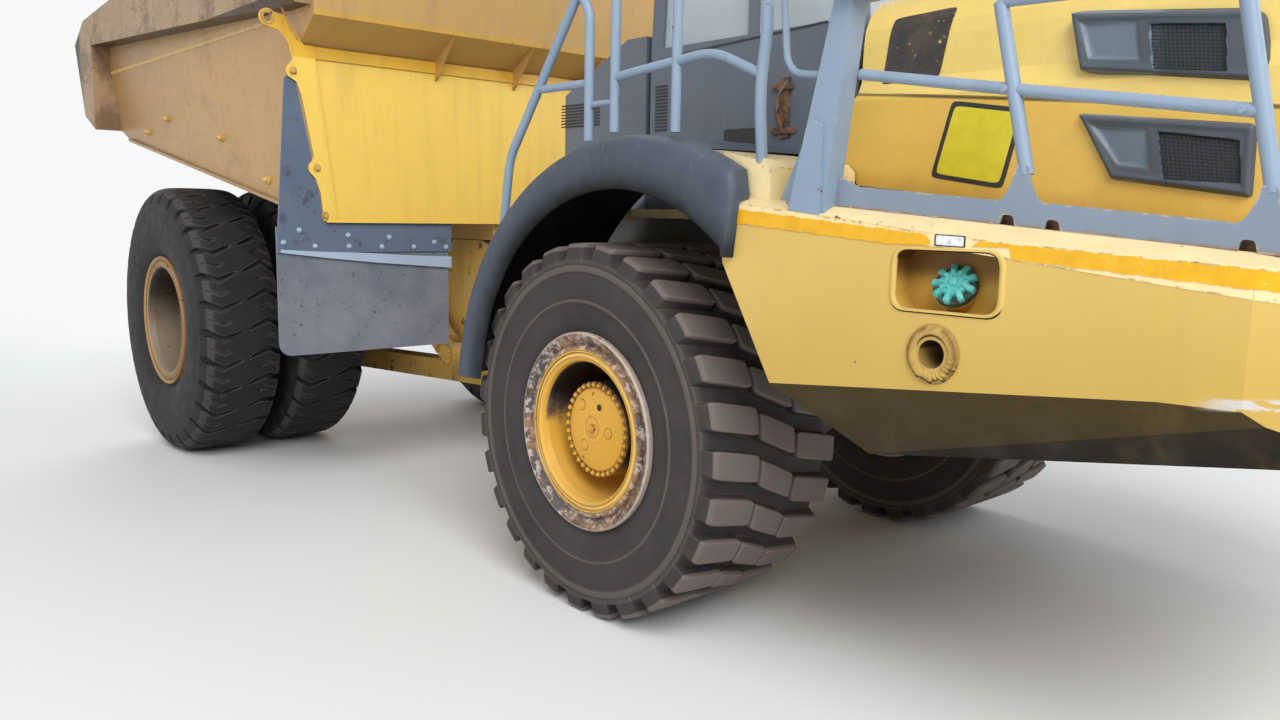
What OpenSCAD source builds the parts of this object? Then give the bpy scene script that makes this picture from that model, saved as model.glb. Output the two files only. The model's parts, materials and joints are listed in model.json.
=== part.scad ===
// Articulated dump truck: a front unit with cab and hood, a hitch, and a rear unit with a tipping bin.
// Millimetres. X points forward, Y to the truck's left, Z up, and the ground is at Z = 0.
// Inside the modules, X is measured from the front axle.

/* [Overall] */
// Distance between the two axles
wheelbase = 4910; // [4860:10:5000]
// Distance from the front axle to the bumper's nose
nose_reach = 3350; // [3340:10:3420]
// Distance from the rear axle to the bin's tail
tail_reach = 2540; // [2500:10:2600]
// Distance from the front axle back to the steering pin
hitch_back = 1450; // [1430:5:1480]

/* [Front wheels] */
// Outer diameter of a front tyre over its lugs
front_tyre_d = 1880; // [1860:5:1890]
// Width of a front tyre
front_tyre_w = 860; // [820:5:870]
// Distance between the middles of the front tyres
front_track = 2580; // [2560:5:2600]
// Radius of the front rim's bead seat
front_seat_r = 368; // [350:2:380]
// Radius of the front rim's flanges
front_flange_r = 500; // [470:2:510]

/* [Rear wheels] */
// Outer diameter of a rear tyre over its lugs
rear_tyre_d = 2170; // [2150:5:2190]
// Width of one rear tyre
rear_tyre_w = 640; // [600:5:650]
// Distance between the middles of twin tyres
dual_spacing = 720; // [700:5:740]
// Distance between the middles of the two pairs
rear_track = 3140; // [3120:5:3160]
// Radius of the rear rims' bead seats
rear_seat_r = 444; // [430:2:460]
// Radius of the rear rims' flanges
rear_flange_r = 526; // [510:2:540]

/* [Bumper] */
// Half width over the bumper's side tanks
tank_y = 1720; // [1700:5:1740]
// Width of each side tank
tank_w = 660; // [620:5:680]
// Radius of a tie-down hole
tie_r = 50; // [40:1:60]
// Depth of a tie-down hole
tie_depth = 250; // [150:10:300]

/* [Fenders] */
// Radius of a fender's outer edge
arch_r = 1435; // [1425:5:1445]
// Radius of the wheel opening in a fender
arch_inner_r = 1110; // [1090:5:1130]
// Half width over the fenders
fender_y = 1780; // [1750:5:1800]
// Thickness of a fender's skin
fender_t = 30; // [20:1:40]

/* [Hood] */
// Half width of the hood below its seam
hood_y = 1090; // [1070:5:1110]
// Thickness of the hood's skin
hood_t = 30; // [20:1:40]

/* [Cab] */
// Half width of the cab
cab_y = 900; // [880:5:910]
// Height of the cab's roof
roof_z = 4050; // [3980:10:4100]
// Thickness of the cab's walls
cab_t = 50; // [40:1:60]
// Width of the cab door
door_w = 780; // [740:5:790]
// Gap around the cab door
door_gap = 8; // [5:1:12]

/* [Bin] */
// Half width of the bin at its floor
bin_floor_y = 1840; // [1800:5:1860]
// Half width of the bin at its rails
bin_top_y = 2010; // [1980:5:2020]
// Half width over the bin's top rails
bin_rail_y = 2170; // [2150:5:2200]
// Height of the bin's front edge
bin_top_z = 4060; // [4020:10:4100]
// Thickness of the bin's plates
bin_t = 45; // [30:1:60]

/* [Rails] */
// Radius of the main handrail tubes
tube_r = 23; // [18:0.5:26]
// Radius of the cross tubes between them
cross_r = 20; // [15:0.5:22]
// Bend radius of the handrails
bend_r = 110; // [80:5:140]

/* [Hidden] */
$fn = 64;

// Places along the truck
tail_x = -wheelbase - tail_reach;
front_axle_x = -(nose_reach + tail_x) / 2;
hitch_x = -hitch_back;
rear_x = -wheelbase;
front_z = front_tyre_d / 2;
rear_z = rear_tyre_d / 2;

// Clearances
run_fit = 0.08;  // radial gap of a pin or shaft in its bore
seat_fit = 0.3;  // gap of a piece that sits in another
move_gap = 6;    // gap between pieces that move past each other

// Colours
yellow = [0.93, 0.68, 0.16];
cream = [0.95, 0.80, 0.45];
weathered = [0.78, 0.52, 0.18];
slate = [0.25, 0.28, 0.32];
rail_grey = [0.42, 0.47, 0.53];
rubber = [0.12, 0.11, 0.10];
steel = [0.60, 0.60, 0.60];
black = [0.08, 0.08, 0.08];

// Shared helpers
module truck() translate([front_axle_x, 0, 0]) children();
module both() { children(); mirror([0, 1, 0]) children(); }
module on_side(s) mirror([0, s < 0 ? 1 : 0, 0]) children();
// A profile drawn as (x, z), made w wide and centred on y
module side_cut(w, y = 0) translate([0, y, 0]) rotate([90, 0, 0]) linear_extrude(w, center = true) children();
// A profile drawn as (y, z), made l long from x forward
module end_cut(l, x = 0) translate([x, 0, 0]) rotate([90, 0, 90]) linear_extrude(l) children();
module plan_cut(h, z = 0) translate([0, 0, z]) linear_extrude(h) children();
module block(lo, hi) translate(lo) cube(hi - lo);
// Turns a shape made about Z so that its Z points to the left
module to_y(x, y, z) translate([x, y, z]) rotate([-90, 0, 0]) children();
module to_x(x, y, z) translate([x, y, z]) rotate([0, 90, 0]) children();
function arc(cx, cy, r, a0, a1, n) =
    [for (i = [0:n]) let (a = a0 + (a1 - a0) * i / n) [cx + r * cos(a), cy + r * sin(a)]];
function unit(v) = v / norm(v);
function mirrored(p) = [for (i = [len(p) - 1:-1:0]) [p[i][0], -p[i][1]]];
// Height of the straight line through a and b at x
function on_line(a, b, x) = a[1] + (b[1] - a[1]) * (x - a[0]) / (b[0] - a[0]);

// A straight round bar from a to b
module rod(a, b, r) {
    d = b - a;
    translate(a) rotate([0, acos(d[2] / norm(d)), atan2(d[1], d[0])]) cylinder(h = norm(d), r = r);
}
// The path p with each corner cut into a short arc
function bent(p, bend) = concat([p[0]], [for (i = [1:1:len(p) - 2]) let (
    d1 = unit(p[i - 1] - p[i]),
    d2 = unit(p[i + 1] - p[i]),
    turn = 180 - acos(d1 * d2),
    cut = bend * tan(turn / 2),
    mid = p[i] + unit(d1 + d2) * bend * (1 / cos(turn / 2) - 1)
) for (q = [p[i] + d1 * cut, mid, p[i] + d2 * cut]) q], [p[len(p) - 1]]);
// A handrail tube along the points p with bends of the given radius
module pipe(p, r, bend) {
    q = bent(p, bend);
    for (i = [0:len(q) - 2]) hull() for (c = [q[i], q[i + 1]]) translate(c) sphere(r, $fn = 10);
}
module rounded(w, h, r) {
    square([w - 2 * r, h], center = true);
    square([w, h - 2 * r], center = true);
    for (x = [-1, 1], y = [-1, 1]) translate([x * (w / 2 - r), y * (h / 2 - r)]) circle(r);
}

// Wheels: a profile is drawn as (radius, distance outward from the wheel's middle)
flange_t = 32;
// Angle round the side wall's arc at which the shoulder begins
shoulder_from = 75;
function tyre_profile(tread_r, w, seat_r, flange_r, rim_w, shoulder) =
    let (
        bead = rim_w / 2 - flange_t - seat_fit,
        side_r = (flange_r + tread_r) / 2 + 10,
        foot_r = flange_r + 20,
        rise = w / 2 - bead - 5,
        bulge = (pow(side_r - foot_r, 2) + rise * rise) / (2 * rise),
        half = concat(
            [[seat_r + seat_fit, bead], [flange_r + seat_fit, bead]],
            arc(side_r, w / 2 - bulge, bulge, 90 + asin((side_r - foot_r) / bulge), shoulder_from, 4),
            [[tread_r - shoulder / 2, w / 2 - shoulder / 2], [tread_r, w / 2 - 1.4 * shoulder]]
        )
    ) concat(half, mirrored(half));
module wheel_at(x, y, z, s) on_side(s) to_y(x, y, z) children();
// An outline of (distance outward, distance round the tread) carried from one radius to another
module on_tread(r0, r1, turn) rotate(turn) translate([r0, 0, 0]) rotate([0, 90, 0]) mirror([1, 0, 0])
    linear_extrude(r1 - r0) children();
function turn_of(run, r) = run / r * 180 / PI;

front_rim_w = 830;
rear_rim_w = 580;
front_spindle_r = 110;
rear_spindle_r = 130;
front_hub_r = 240;
rear_hub_r = 300;

// Lugs of the front tyres: a shoulder row, a middle row and the other shoulder row
lug_count = 27;
lug_h = 62;
lug_l = 132;
lug_root = 30;   // how far a lug reaches into the casing
// For each row: its edges, and where each edge's middle lies round the tread
lug_rows = [[130, 400, 45, -12], [-112, 114, 166, 67], [-400, -130, 244, 187]];
module front_tyre(s) {
    top_r = front_tyre_d / 2;
    casing_r = top_r - lug_h;
    truck() wheel_at(0, front_track / 2, front_z, s) {
        rotate_extrude()
            polygon(tyre_profile(casing_r, front_tyre_w, front_seat_r, front_flange_r, front_rim_w, 50));
        for (row = lug_rows, i = [0:lug_count - 1]) {
            mid = (row[2] + row[3]) / 2;
            lean = row[2] - mid;
            reach = lug_l / 2 + abs(lean);
            flat_r = sqrt(top_r * top_r - reach * reach);
            on_tread(casing_r - lug_root, flat_r, 360 / lug_count * i + turn_of(mid, top_r))
                polygon([
                    [row[0], lean - lug_l / 2], [row[1], -lean - lug_l / 2],
                    [row[1], -lean + lug_l / 2], [row[0], lean + lug_l / 2]
                ]);
        }
    }
}
// Grooves of the rear tyres: bent, on both sides of a solid band, and open at the shoulders
groove_count = 30;
groove_d = 50;
groove = [[40, 0], [168, 34], [360, -28], [360, 30], [172, 86]];
module rear_tyres(s) {
    top_r = rear_tyre_d / 2;
    truck() wheel_at(rear_x, rear_track / 2, rear_z, s) for (side = [-1, 1])
        translate([0, 0, side * dual_spacing / 2]) difference() {
            rotate_extrude()
                polygon(tyre_profile(top_r, rear_tyre_w, rear_seat_r, rear_flange_r, rear_rim_w, 80));
            for (half = [-1, 1], i = [0:groove_count - 1])
                on_tread(top_r - groove_d, top_r + 20, 360 / groove_count * i) polygon(half * groove);
        }
}
// One rim's barrel between the distances lo and hi, with a flange at each end
// The outer end has a dished flange ring and two lock rings
// For each point of the rings: its share of the way in from the flange's edge, and its depth
ring_steps = [
    [0, 8], [0.05, 0], [0.12, 3], [0.40, 30], [0.45, 14], [0.64, 8], [0.68, 18], [0.85, 12], [0.93, 24], [1, 60]
];
function barrel_profile(lo, hi, seat_r, flange_r, wall) = concat(
    [
        [seat_r - wall, lo], [flange_r, lo], [flange_r, lo + flange_t], [seat_r, lo + flange_t],
        [seat_r, hi - flange_t], [flange_r, hi - flange_t]
    ],
    [for (step = ring_steps) [flange_r - step[0] * (flange_r - seat_r + wall), hi - step[1]]]
);
rim_wall = 22;
hub_cap_t = 40;
front_hub_out = 310;
rear_hub_out = 420;
module front_rim(s) {
    disc_at = -60;
    disc_t = 34;
    truck() wheel_at(0, front_track / 2, front_z, s) difference() {
        union() {
            rotate_extrude()
                polygon(barrel_profile(-front_rim_w / 2, front_rim_w / 2, front_seat_r, front_flange_r, rim_wall));
            translate([0, 0, disc_at]) cylinder(h = disc_t, r = front_seat_r - rim_wall / 2);
            translate([0, 0, -330]) cylinder(h = 330 + front_hub_out, r = front_hub_r);
        }
        translate([0, 0, -340]) cylinder(h = 340 + front_hub_out - hub_cap_t, r = front_spindle_r + run_fit);
    }
}
module rear_rims(s) {
    disc_t = 30;
    truck() wheel_at(rear_x, rear_track / 2, rear_z, s) difference() {
        union() {
            for (side = [-1, 1]) translate([0, 0, side * dual_spacing / 2]) rotate_extrude()
                polygon(barrel_profile(-rear_rim_w / 2, rear_rim_w / 2, rear_seat_r, rear_flange_r, rim_wall));
            difference() {
                translate([0, 0, -dual_spacing / 2]) cylinder(h = dual_spacing, r = rear_seat_r - rim_wall / 2);
                for (side = [-1, 1]) translate([0, 0, side * (dual_spacing / 2 + disc_t / 2) - dual_spacing / 2])
                    cylinder(h = dual_spacing - disc_t, r = rear_seat_r - rim_wall);
            }
            translate([0, 0, -500]) cylinder(h = 500 + rear_hub_out, r = rear_hub_r);
        }
        translate([0, 0, -510]) cylinder(h = 510 + rear_hub_out - hub_cap_t, r = rear_spindle_r + run_fit);
    }
}
module front_tyre_right() color(rubber) front_tyre(-1);
module front_tyre_left() color(rubber) front_tyre(1);
module front_rim_right() color(yellow) front_rim(-1);
module front_rim_left() color(yellow) front_rim(1);
module rear_tyres_right() color(rubber) rear_tyres(-1);
module rear_tyres_left() color(rubber) rear_tyres(1);
module rear_rims_right() color(weathered) rear_rims(-1);
module rear_rims_left() color(weathered) rear_rims(1);

// Front frame: two rails, cross members and the tower that holds the hitch
rail_in = 400;
rail_out = 520;
rail_lo = 1240;
rail_hi = 1580;
deck_lo = 2000;
deck_hi = 2050;
deck_y = 930;
tower_x = -1020;
tower_y = 335;
pin_r = 60;
pin_over = 25;
ear_r = 165;
ear_t = 70;
hitch_lo = 810;
hitch_hi = 1330;
cylinder_z = 1070;
eye_t = 100;
steer_pin_r = 32;
steer_eye_r = 72;
steer_base = [-300, 560];
steer_arm = [-40, 430];
plate_t = 30;
bay_x = nose_reach - 350;
module clevis_plates(profile_z, t) {
    for (z = [profile_z + t / 2 + move_gap, profile_z - t / 2 - move_gap - plate_t])
        translate([0, 0, z]) linear_extrude(plate_t) children();
}
module front_frame() color(yellow) truck() {
    both() block([tower_x - 80, rail_in, rail_lo], [bay_x, rail_out, rail_hi]);
    // Cross members, outriggers to the side tanks and posts under the deck
    for (x = [-620, 620, 1080, 2780]) block([x, -rail_in, rail_lo + 60], [x + 120, rail_in, rail_lo + 200]);
    both() for (x = [1300, 2500])
        block([x, rail_out, rail_lo + 200], [x + 120, tank_y - tank_w, rail_lo + 320]);
    both() for (x = [-900, -380, 640]) block([x, rail_in, rail_hi], [x + 120, rail_out, deck_lo]);
    // Tower and ears
    block([tower_x - 80, -tower_y, hitch_lo - ear_t], [tower_x + 120, tower_y, rail_hi]);
    block([tower_x - 80, -rail_in, rail_lo], [tower_x + 120, rail_in, rail_hi]);
    for (z = [hitch_lo - ear_t, hitch_hi]) {
        translate([hitch_x, 0, z]) cylinder(h = ear_t, r = ear_r);
        block([hitch_x, -ear_r, z], [tower_x, ear_r, z + ear_t]);
    }
    translate([hitch_x, 0, hitch_lo - ear_t - pin_over])
        cylinder(h = hitch_hi - hitch_lo + 2 * (ear_t + pin_over), r = pin_r);
    // Brackets and pins of the steering cylinders
    both() {
        web_x = steer_base[0] + steer_eye_r + 30;
        block([web_x, rail_in, cylinder_z - eye_t / 2 - move_gap - plate_t],
            [web_x + 40, steer_base[1] + 90, rail_lo + 40]);
        clevis_plates(cylinder_z, eye_t) {
            translate(steer_base) circle(80);
            translate([steer_base[0], steer_base[1] - 80]) square([web_x + 10 - steer_base[0], 160]);
        }
        translate([steer_base[0], steer_base[1], cylinder_z - eye_t / 2 - move_gap - 10])
            cylinder(h = eye_t + 2 * move_gap + 20, r = steer_pin_r);
    }
}
module front_axle() color(slate) truck() {
    ball_r = 270;
    housing_r = 150;
    strut_r = 85;
    translate([0, 0, front_z]) sphere(ball_r);
    to_x(-460, 0, front_z) cylinder(h = 300, r = 130);
    to_y(0, -front_track / 2 + 350, front_z) cylinder(h = front_track - 700, r = housing_r);
    both() {
        to_y(0, front_track / 2 - 370, front_z) cylinder(h = 36, r = 210);
        to_y(0, front_track / 2 - 360, front_z)
            cylinder(h = 360 + front_hub_out - hub_cap_t - 5, r = front_spindle_r);
        translate([0, (rail_in + rail_out) / 2, front_z]) cylinder(h = rail_lo - front_z, r = strut_r);
        // Link from the axle back to the tower
        side_cut(90, 300) polygon([
            [-60, front_z - 110], [tower_x + 120, front_z - 60], [tower_x + 120, front_z + 20], [-60, front_z + 40]
        ]);
    }
}
module engine() color(steel) truck() {
    // Block, fan shroud, and the radiator on its foot
    shroud_x = bay_x - 510;
    block([1240, -rail_in + 4, rail_lo + 200], [shroud_x + 10, rail_in - 4, 2350]);
    block([shroud_x, -620, 1650], [shroud_x + 270, 620, 2330]);
    block([shroud_x + 260, -800, 1640], [bay_x - 100, 800, 2380]);
    block([shroud_x + 260, -rail_in, rail_lo + 200], [bay_x - 100, rail_in, 1650]);
}

// Bumper: side tanks and nose in one piece, open above the engine
tank_rear = 950;
tank_top = [[960, 2080], [nose_reach, 1815]];
tank_fold = [[1230, 1360], [nose_reach, 1570]];
tank_foot = [[1640, 1130], [nose_reach, 1400]];
tank_bevel = 120;
cap_place = [2010, 1800];
tie_place = [1960, 1560];
pocket = [1990, 1810, 420, 220, 110];
lamp_r = 85;
lamp_y = 700;
lamp_z = 1640;
lamp_depth = 60;
step_recess = [1290, 1830];
function plan_nose() = concat(
    [[900, tank_y], [2700, tank_y]], arc(nose_reach - 520, tank_y - 520, 520, 80, 20, 4), [[nose_reach, 1080]]
);
module bumper() color(yellow) truck() {
    nose = plan_nose();
    difference() {
        intersection() {
            hull() {
                side_cut(2 * tank_y) polygon([
                    tank_top[0], [tank_rear, 1830], tank_fold[0], tank_fold[1], tank_top[1]
                ]);
                side_cut(2 * (tank_y - tank_bevel))
                    polygon([tank_foot[0], tank_foot[1], tank_top[1], tank_fold[0]]);
            }
            plan_cut(3000) polygon(concat(nose, mirrored(nose)));
        }
        block([900, -tank_y + tank_w, 1000], [bay_x, tank_y - tank_w, 2200]);
        // Pocket of the filler cap, on the right
        translate([pocket[0], -tank_y + pocket[4], pocket[1]]) rotate([90, 0, 0])
            linear_extrude(pocket[4] + 50) rounded(pocket[2], pocket[3], 60);
        // Steps cut into the left tank
        block([step_recess[0], tank_y - 260, 1000], [step_recess[1], tank_y + 50, 1960]);
        both() to_y(tie_place[0], tank_y - tie_depth, tie_place[1]) cylinder(h = tie_depth + 50, r = tie_r);
        both() to_x(nose_reach - lamp_depth, lamp_y, lamp_z)
            cylinder(h = lamp_depth + 10, r = lamp_r + seat_fit);
    }
    both() to_y(tie_place[0], tank_y - 20, tie_place[1]) difference() {
        cylinder(h = 30, r = 2 * tie_r);
        translate([0, 0, -5]) cylinder(h = 40, r = tie_r);
    }
    // Hinge lugs of the hood
    both() for (y = [hood_hinge_y - 70, hood_hinge_y + 40]) side_cut(30, y + 15) {
        translate(hood_pivot) circle(38);
        translate([hood_pivot[0] - 38, 1780]) square([76, hood_pivot[1] - 1780]);
    }
    both() to_y(hood_pivot[0], hood_hinge_y - 80, hood_pivot[1]) cylinder(h = 160, r = hood_pin_r);
}
module filler_cap() color([0.15, 0.62, 0.55]) truck() {
    lobes = 10;
    back = -tank_y + pocket[4];
    translate([cap_place[0], back, cap_place[1]]) rotate([90, 0, 0]) {
        cylinder(h = 40, r = 60);
        translate([0, 0, 40]) linear_extrude(45) {
            circle(76);
            for (i = [0:lobes - 1]) rotate(360 / lobes * i) translate([76, 0]) circle(17);
        }
        translate([0, 0, 85]) cylinder(h = 12, r = 45);
    }
}
module headlamps() color([0.9, 0.9, 0.85]) truck()
    both() to_x(nose_reach - lamp_depth, lamp_y, lamp_z) cylinder(h = lamp_depth, r = lamp_r);

// Fenders, decks, steps and rails
arch_x = 350;
arch_inner_x = 270;
arch_inner_z = front_z + 80;
skirt_x = 1010;
lip_end_z = 1840;
// Inner edge of the band that the fender keeps beside the deck's slope
band_y = 1660;
module fender_outline(inset) {
    r = arch_r - inset;
    polygon(concat(
        arc(arch_x, front_z, r, 172, 62, 16),
        [[1046 - inset, 2100], [skirt_x - inset, 1850], [skirt_x - inset, 1700], [0, 1100], [arch_x - r, 1100]]
    ));
}
module fenders() color(slate) truck() both() difference() {
    side_cut(fender_y - deck_y, (fender_y + deck_y) / 2) fender_outline(0);
    side_cut(fender_y - deck_y - 2 * fender_t, (fender_y + deck_y) / 2) fender_outline(fender_t);
    side_cut(400, fender_y) polygon(concat(
        arc(arch_inner_x, arch_inner_z, arch_inner_r, 170, 50, 14),
        [[1100, 1650], [600, 1000], [-760, 1000], [-900, 1000]]
    ));
    // The inner side is open below the deck, and the ends are open to the wheel
    side_cut(200, deck_y) polygon([[-1200, 900], [1200, 900], [1200, 1960], [-1200, 1960]]);
    block([-700, deck_y + fender_t, 1000], [700, fender_y + 50, 1650]);
    block([600, deck_y - 10, 1000], [1200, fender_y + 50, lip_end_z]);
    block([-1200, deck_y - 10, 1000], [-1044, fender_y - fender_t, 1240]);
    // Room for the deck's slope, and for the side tank, which only the lip laps over
    block([slope_x - move_gap, deck_y - 10, 2085], [1200, band_y, 2400]);
    block([tank_rear - move_gap, deck_y - 50, 1000], [1300, tank_y + move_gap, tank_top[0][1] + 2 * move_gap]);
}
deck_step_z = 2250;
slope_x = 796;
module decks() color(cream) truck() {
    block([-1200, -deck_y, deck_lo], [900, deck_y, deck_hi]);
    // Wedge between the fender's outer band and the hood, down to the side tank
    inner = hood_y + 10;
    outer = band_y - move_gap;
    both() side_cut(outer - inner, (inner + outer) / 2) polygon([
        [slope_x, 2120], [slope_x, 2296], [1052, deck_step_z], [1105, deck_step_z], [1140, 2215],
        on_tank(1140), on_tank(1000), [960, 2110]
    ]);
}
step_t = 30;
module steps() color(slate) truck() {
    mid = (step_recess[0] + step_recess[1]) / 2;
    for (z = [1480, 1720]) block([step_recess[0], tank_y - 260, z], [step_recess[1], tank_y - 10, z + step_t]);
    for (x = [mid - 220, mid + 200]) block([x, tank_y - 60, 780], [x + 20, tank_y - 30, 1480]);
    for (z = [780, 1100]) block([mid - 200, tank_y - 200, z], [mid + 200, tank_y - 30, z + step_t]);
}
rail_y = 1690;
// Height at which a tube's round end rests on the fender at x
function foot_z(x) = front_z + sqrt(pow(arch_r + tube_r + seat_fit, 2) - pow(x - arch_x, 2));
module fender_rails() color(rail_grey) truck() both() {
    top = 3290;
    foot_x = 1085;
    foot = deck_step_z + tube_r + seat_fit;
    pipe([
        [-700, rail_y, foot_z(-700)], [-640, rail_y, 2300], [-60, rail_y, 3060], [20, rail_y, 2960],
        [20, rail_y, foot_z(20)]
    ], tube_r, 60);
    pipe([
        [210, rail_y, foot_z(210)], [210, rail_y, top], [1010, rail_y, top], [1140, rail_y, 2850],
        [foot_x, rail_y, foot]
    ], tube_r, bend_r);
    pipe([[620, rail_y, foot_z(620)], [620, rail_y, top]], tube_r, bend_r);
    pipe([[-385, rail_y, 2630], [20, rail_y, 2630]], cross_r, bend_r);
    pipe([[210, rail_y, 2640], [840, rail_y, 2690], [1115, rail_y, 2570]], cross_r, 60);
    pipe([[20, rail_y, 2420], [20, rail_y, 2530], [210, rail_y, 2530], [210, rail_y, 2420]], 14, 50);
    side_cut(12, rail_y) polygon([
        [foot_x - 28, foot - tube_r], [foot_x - 20, 2320], [foot_x + 15, 2600], [foot_x + 35, 2600],
        [foot_x + 14, foot - tube_r]
    ]);
}
walk_y = 1640;
function tank_z(x) = on_line(tank_top[0], tank_top[1], x);
module walkway_rails() color(rail_grey) truck() both() {
    // Kick plate with raised gussets where the stanchions stand
    side_cut(10, walk_y) polygon([
        [1460, tank_z(1460)], [1480, 2180], [1560, 2110], [2090, 2080], [2160, 2200], [2230, 2200], [2300, 2060],
        [2800, 2010], [2870, 2150], [2930, 2150], [3010, tank_z(3010)]
    ]);
    for (p = [[2215, 2110], [2925, 2060]])
        pipe([[p[0], walk_y - 16, tank_z(p[0]) + tube_r], [p[0] - 150, walk_y - 16, 2720]], tube_r, bend_r);
    pipe([
        [post_face(2541) + cross_r + seat_fit, walk_y - 16, 2541], [2140, walk_y - 16, 2440], [2870, walk_y - 16, 2325]
    ], cross_r, 60);
    pipe([[2065, walk_y - 16, 2700], [2080, walk_y - 16, 2720], [2760, walk_y - 16, 2700]], cross_r, 60);
}
post_y = 1660;
post_top = [1551, 2860];
// A point that seats on the side tank's top at x
function on_tank(x) = [x, tank_z(x) + seat_fit];
// Where the front face of the mirror's post lies at height z
function post_face(z) = on_line([on_tank(1450)[1], 1450], [post_top[1], post_top[0]], z);
module mirrors() color(rail_grey) truck() both() {
    // Post, its two gussets and the arm with the mirror
    side_cut(90, post_y) polygon([on_tank(1280), on_tank(1450), post_top, post_top - [77, 0]]);
    side_cut(14, post_y + 52) polygon(concat([on_tank(1290), on_tank(1440)], arc(1400, 2340, 38, -10, 170, 6)));
    side_cut(14, post_y - 52) polygon(concat([on_tank(1150), on_tank(1290)], arc(1330, 2345, 38, -10, 170, 6)));
    translate([1515, post_y, 2850]) cylinder(h = 30, r = 110);
    rod([1515, post_y, 2870], [1560, post_y + 60, 3420], 20);
    block([1520, post_y - 110, 2980], [1580, post_y + 190, 3400]);
}

// Cab, door and the box behind it
cab_lo = 2050;
cab_floor = 2330;
cab_rear = -420;
cab_front = 980;
eave_z = roof_z - 130;
belt_z = 2920;
pillar = 90;
divider_x = 330;
pane_t = 8;
door_hinge = [-170, 940];
door_lo = 2420;
door_hi = eave_z - 70;
cab_side = [
    [cab_rear, cab_lo], [cab_front, cab_lo], [cab_front + 10, 2700], [cab_front - 90, eave_z],
    [cab_rear + 60, eave_z], [cab_rear, belt_z]
];
cab_side_in = [
    [cab_rear + cab_t, cab_floor], [cab_front - cab_t, cab_floor], [cab_front + 10 - cab_t, 2700],
    [cab_front - 90 - cab_t, eave_z - 5], [cab_rear + 60 + cab_t, eave_z - 5], [cab_rear + cab_t, belt_z]
];
// Window outlines, inset by g on every side
function window_rear(g) = [
    [cab_rear + pillar + g, belt_z + g], [divider_x - 30 - g, belt_z + g], [divider_x - 30 - g, door_hi - g],
    [cab_rear + pillar + 45 + g, door_hi - g]
];
function window_front(g) = [
    [divider_x + 30 + g, belt_z + g], [cab_front - pillar - g, belt_z + g],
    [cab_front - pillar - 72 - g, door_hi - g], [divider_x + 30 + g, door_hi - g]
];
module end_window(g, lo) translate([-cab_y + pillar + g, lo + g])
    square([2 * (cab_y - pillar - g), door_hi - lo - 2 * g]);
module cab_shell() color(slate) truck() {
    difference() {
        side_cut(2 * cab_y) polygon(cab_side);
        side_cut(2 * (cab_y - cab_t)) polygon(cab_side_in);
        side_cut(cab_t + 60, -cab_y + cab_t / 2) polygon(window_rear(0));
        side_cut(cab_t + 60, -cab_y + cab_t / 2) polygon(window_front(0));
        // Door opening on the left
        side_cut(cab_t + 60, cab_y - cab_t / 2)
            translate([door_hinge[0], door_lo]) square([door_w, door_hi - door_lo]);
        end_cut(300, cab_front - 200) end_window(0, 2760);
        end_cut(200, cab_rear - 50) end_window(0, 3050);
    }
    // Hinge pins of the door, with a lug above and below each knuckle
    for (z = hinge_zs) {
        translate([door_hinge[0], door_hinge[1], z - 30]) cylinder(h = knuckle_h + 60, r = knuckle_pin_r);
        for (lug = [z - 32, z + knuckle_h + 2]) {
            translate([door_hinge[0], door_hinge[1], lug]) cylinder(h = 30, r = knuckle_r);
            block([door_hinge[0] - 60, cab_y - 5, lug], [door_hinge[0], door_hinge[1] + 8, lug + 30]);
        }
    }
    // Roof
    difference() {
        block([cab_rear - 60, -cab_y - 30, eave_z], [cab_front + 60, cab_y + 30, roof_z]);
        for (s = [-1, 1]) translate([0, s * (cab_y + 30), roof_z])
            rotate([45, 0, 0]) cube([4000, 60, 60], center = true);
        for (x = [cab_rear - 60, cab_front + 60]) translate([x, 0, roof_z])
            rotate([0, 45, 0]) cube([80, 4000, 80], center = true);
    }
}
function strip_between(a, b, t) = [a - [t / 2, 0], a + [t / 2, 0], b + [t / 2, 0], b - [t / 2, 0]];
module cab_glass() color([0.75, 0.82, 0.84, 0.5]) truck() {
    for (o = [window_rear(seat_fit), window_front(seat_fit)]) side_cut(pane_t, -cab_y + cab_t / 2) polygon(o);
    front_mid = [cab_front + 10 - cab_t / 2, 2700];
    front_top = [cab_front - 90 - cab_t / 2, eave_z];
    intersection() {
        end_cut(300, cab_front - 200) end_window(seat_fit, 2760);
        side_cut(2 * cab_y) polygon(strip_between(front_mid, front_top, pane_t));
    }
    rear_mid = [cab_rear + cab_t / 2, belt_z];
    rear_top = [cab_rear + 60 + cab_t / 2, eave_z];
    intersection() {
        end_cut(200, cab_rear - 50) end_window(seat_fit, 3050);
        side_cut(2 * cab_y) polygon(strip_between(rear_mid, rear_top, pane_t));
    }
}
module seat() color(black) truck() {
    block([-120, -200, cab_floor], [220, 200, cab_floor + 330]);
    block([-180, -250, cab_floor + 330], [320, 250, cab_floor + 460]);
    side_cut(480, 0) polygon([
        [-180, cab_floor + 400], [-60, cab_floor + 400], [-130, cab_floor + 1050], [-240, cab_floor + 1050]
    ]);
}
module cab_interior() color(black) truck() {
    // Dashboard, column and steering wheel
    block([700, -500, cab_floor], [850, 500, cab_floor + 560]);
    rod([740, 0, cab_floor + 500], [510, 0, cab_floor + 710], 30);
    translate([510, 0, cab_floor + 710]) rotate([0, -48, 0]) {
        rotate_extrude() translate([190, 0]) circle(14);
        for (a = [0, 120, 240]) rotate(a) translate([0, -12, -6]) cube([190, 24, 12]);
    }
}
door_y = cab_y - cab_t;
hinge_zs = [2600, 3560];
knuckle_h = 80;
knuckle_r = 20;
knuckle_pin_r = 9;
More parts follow.
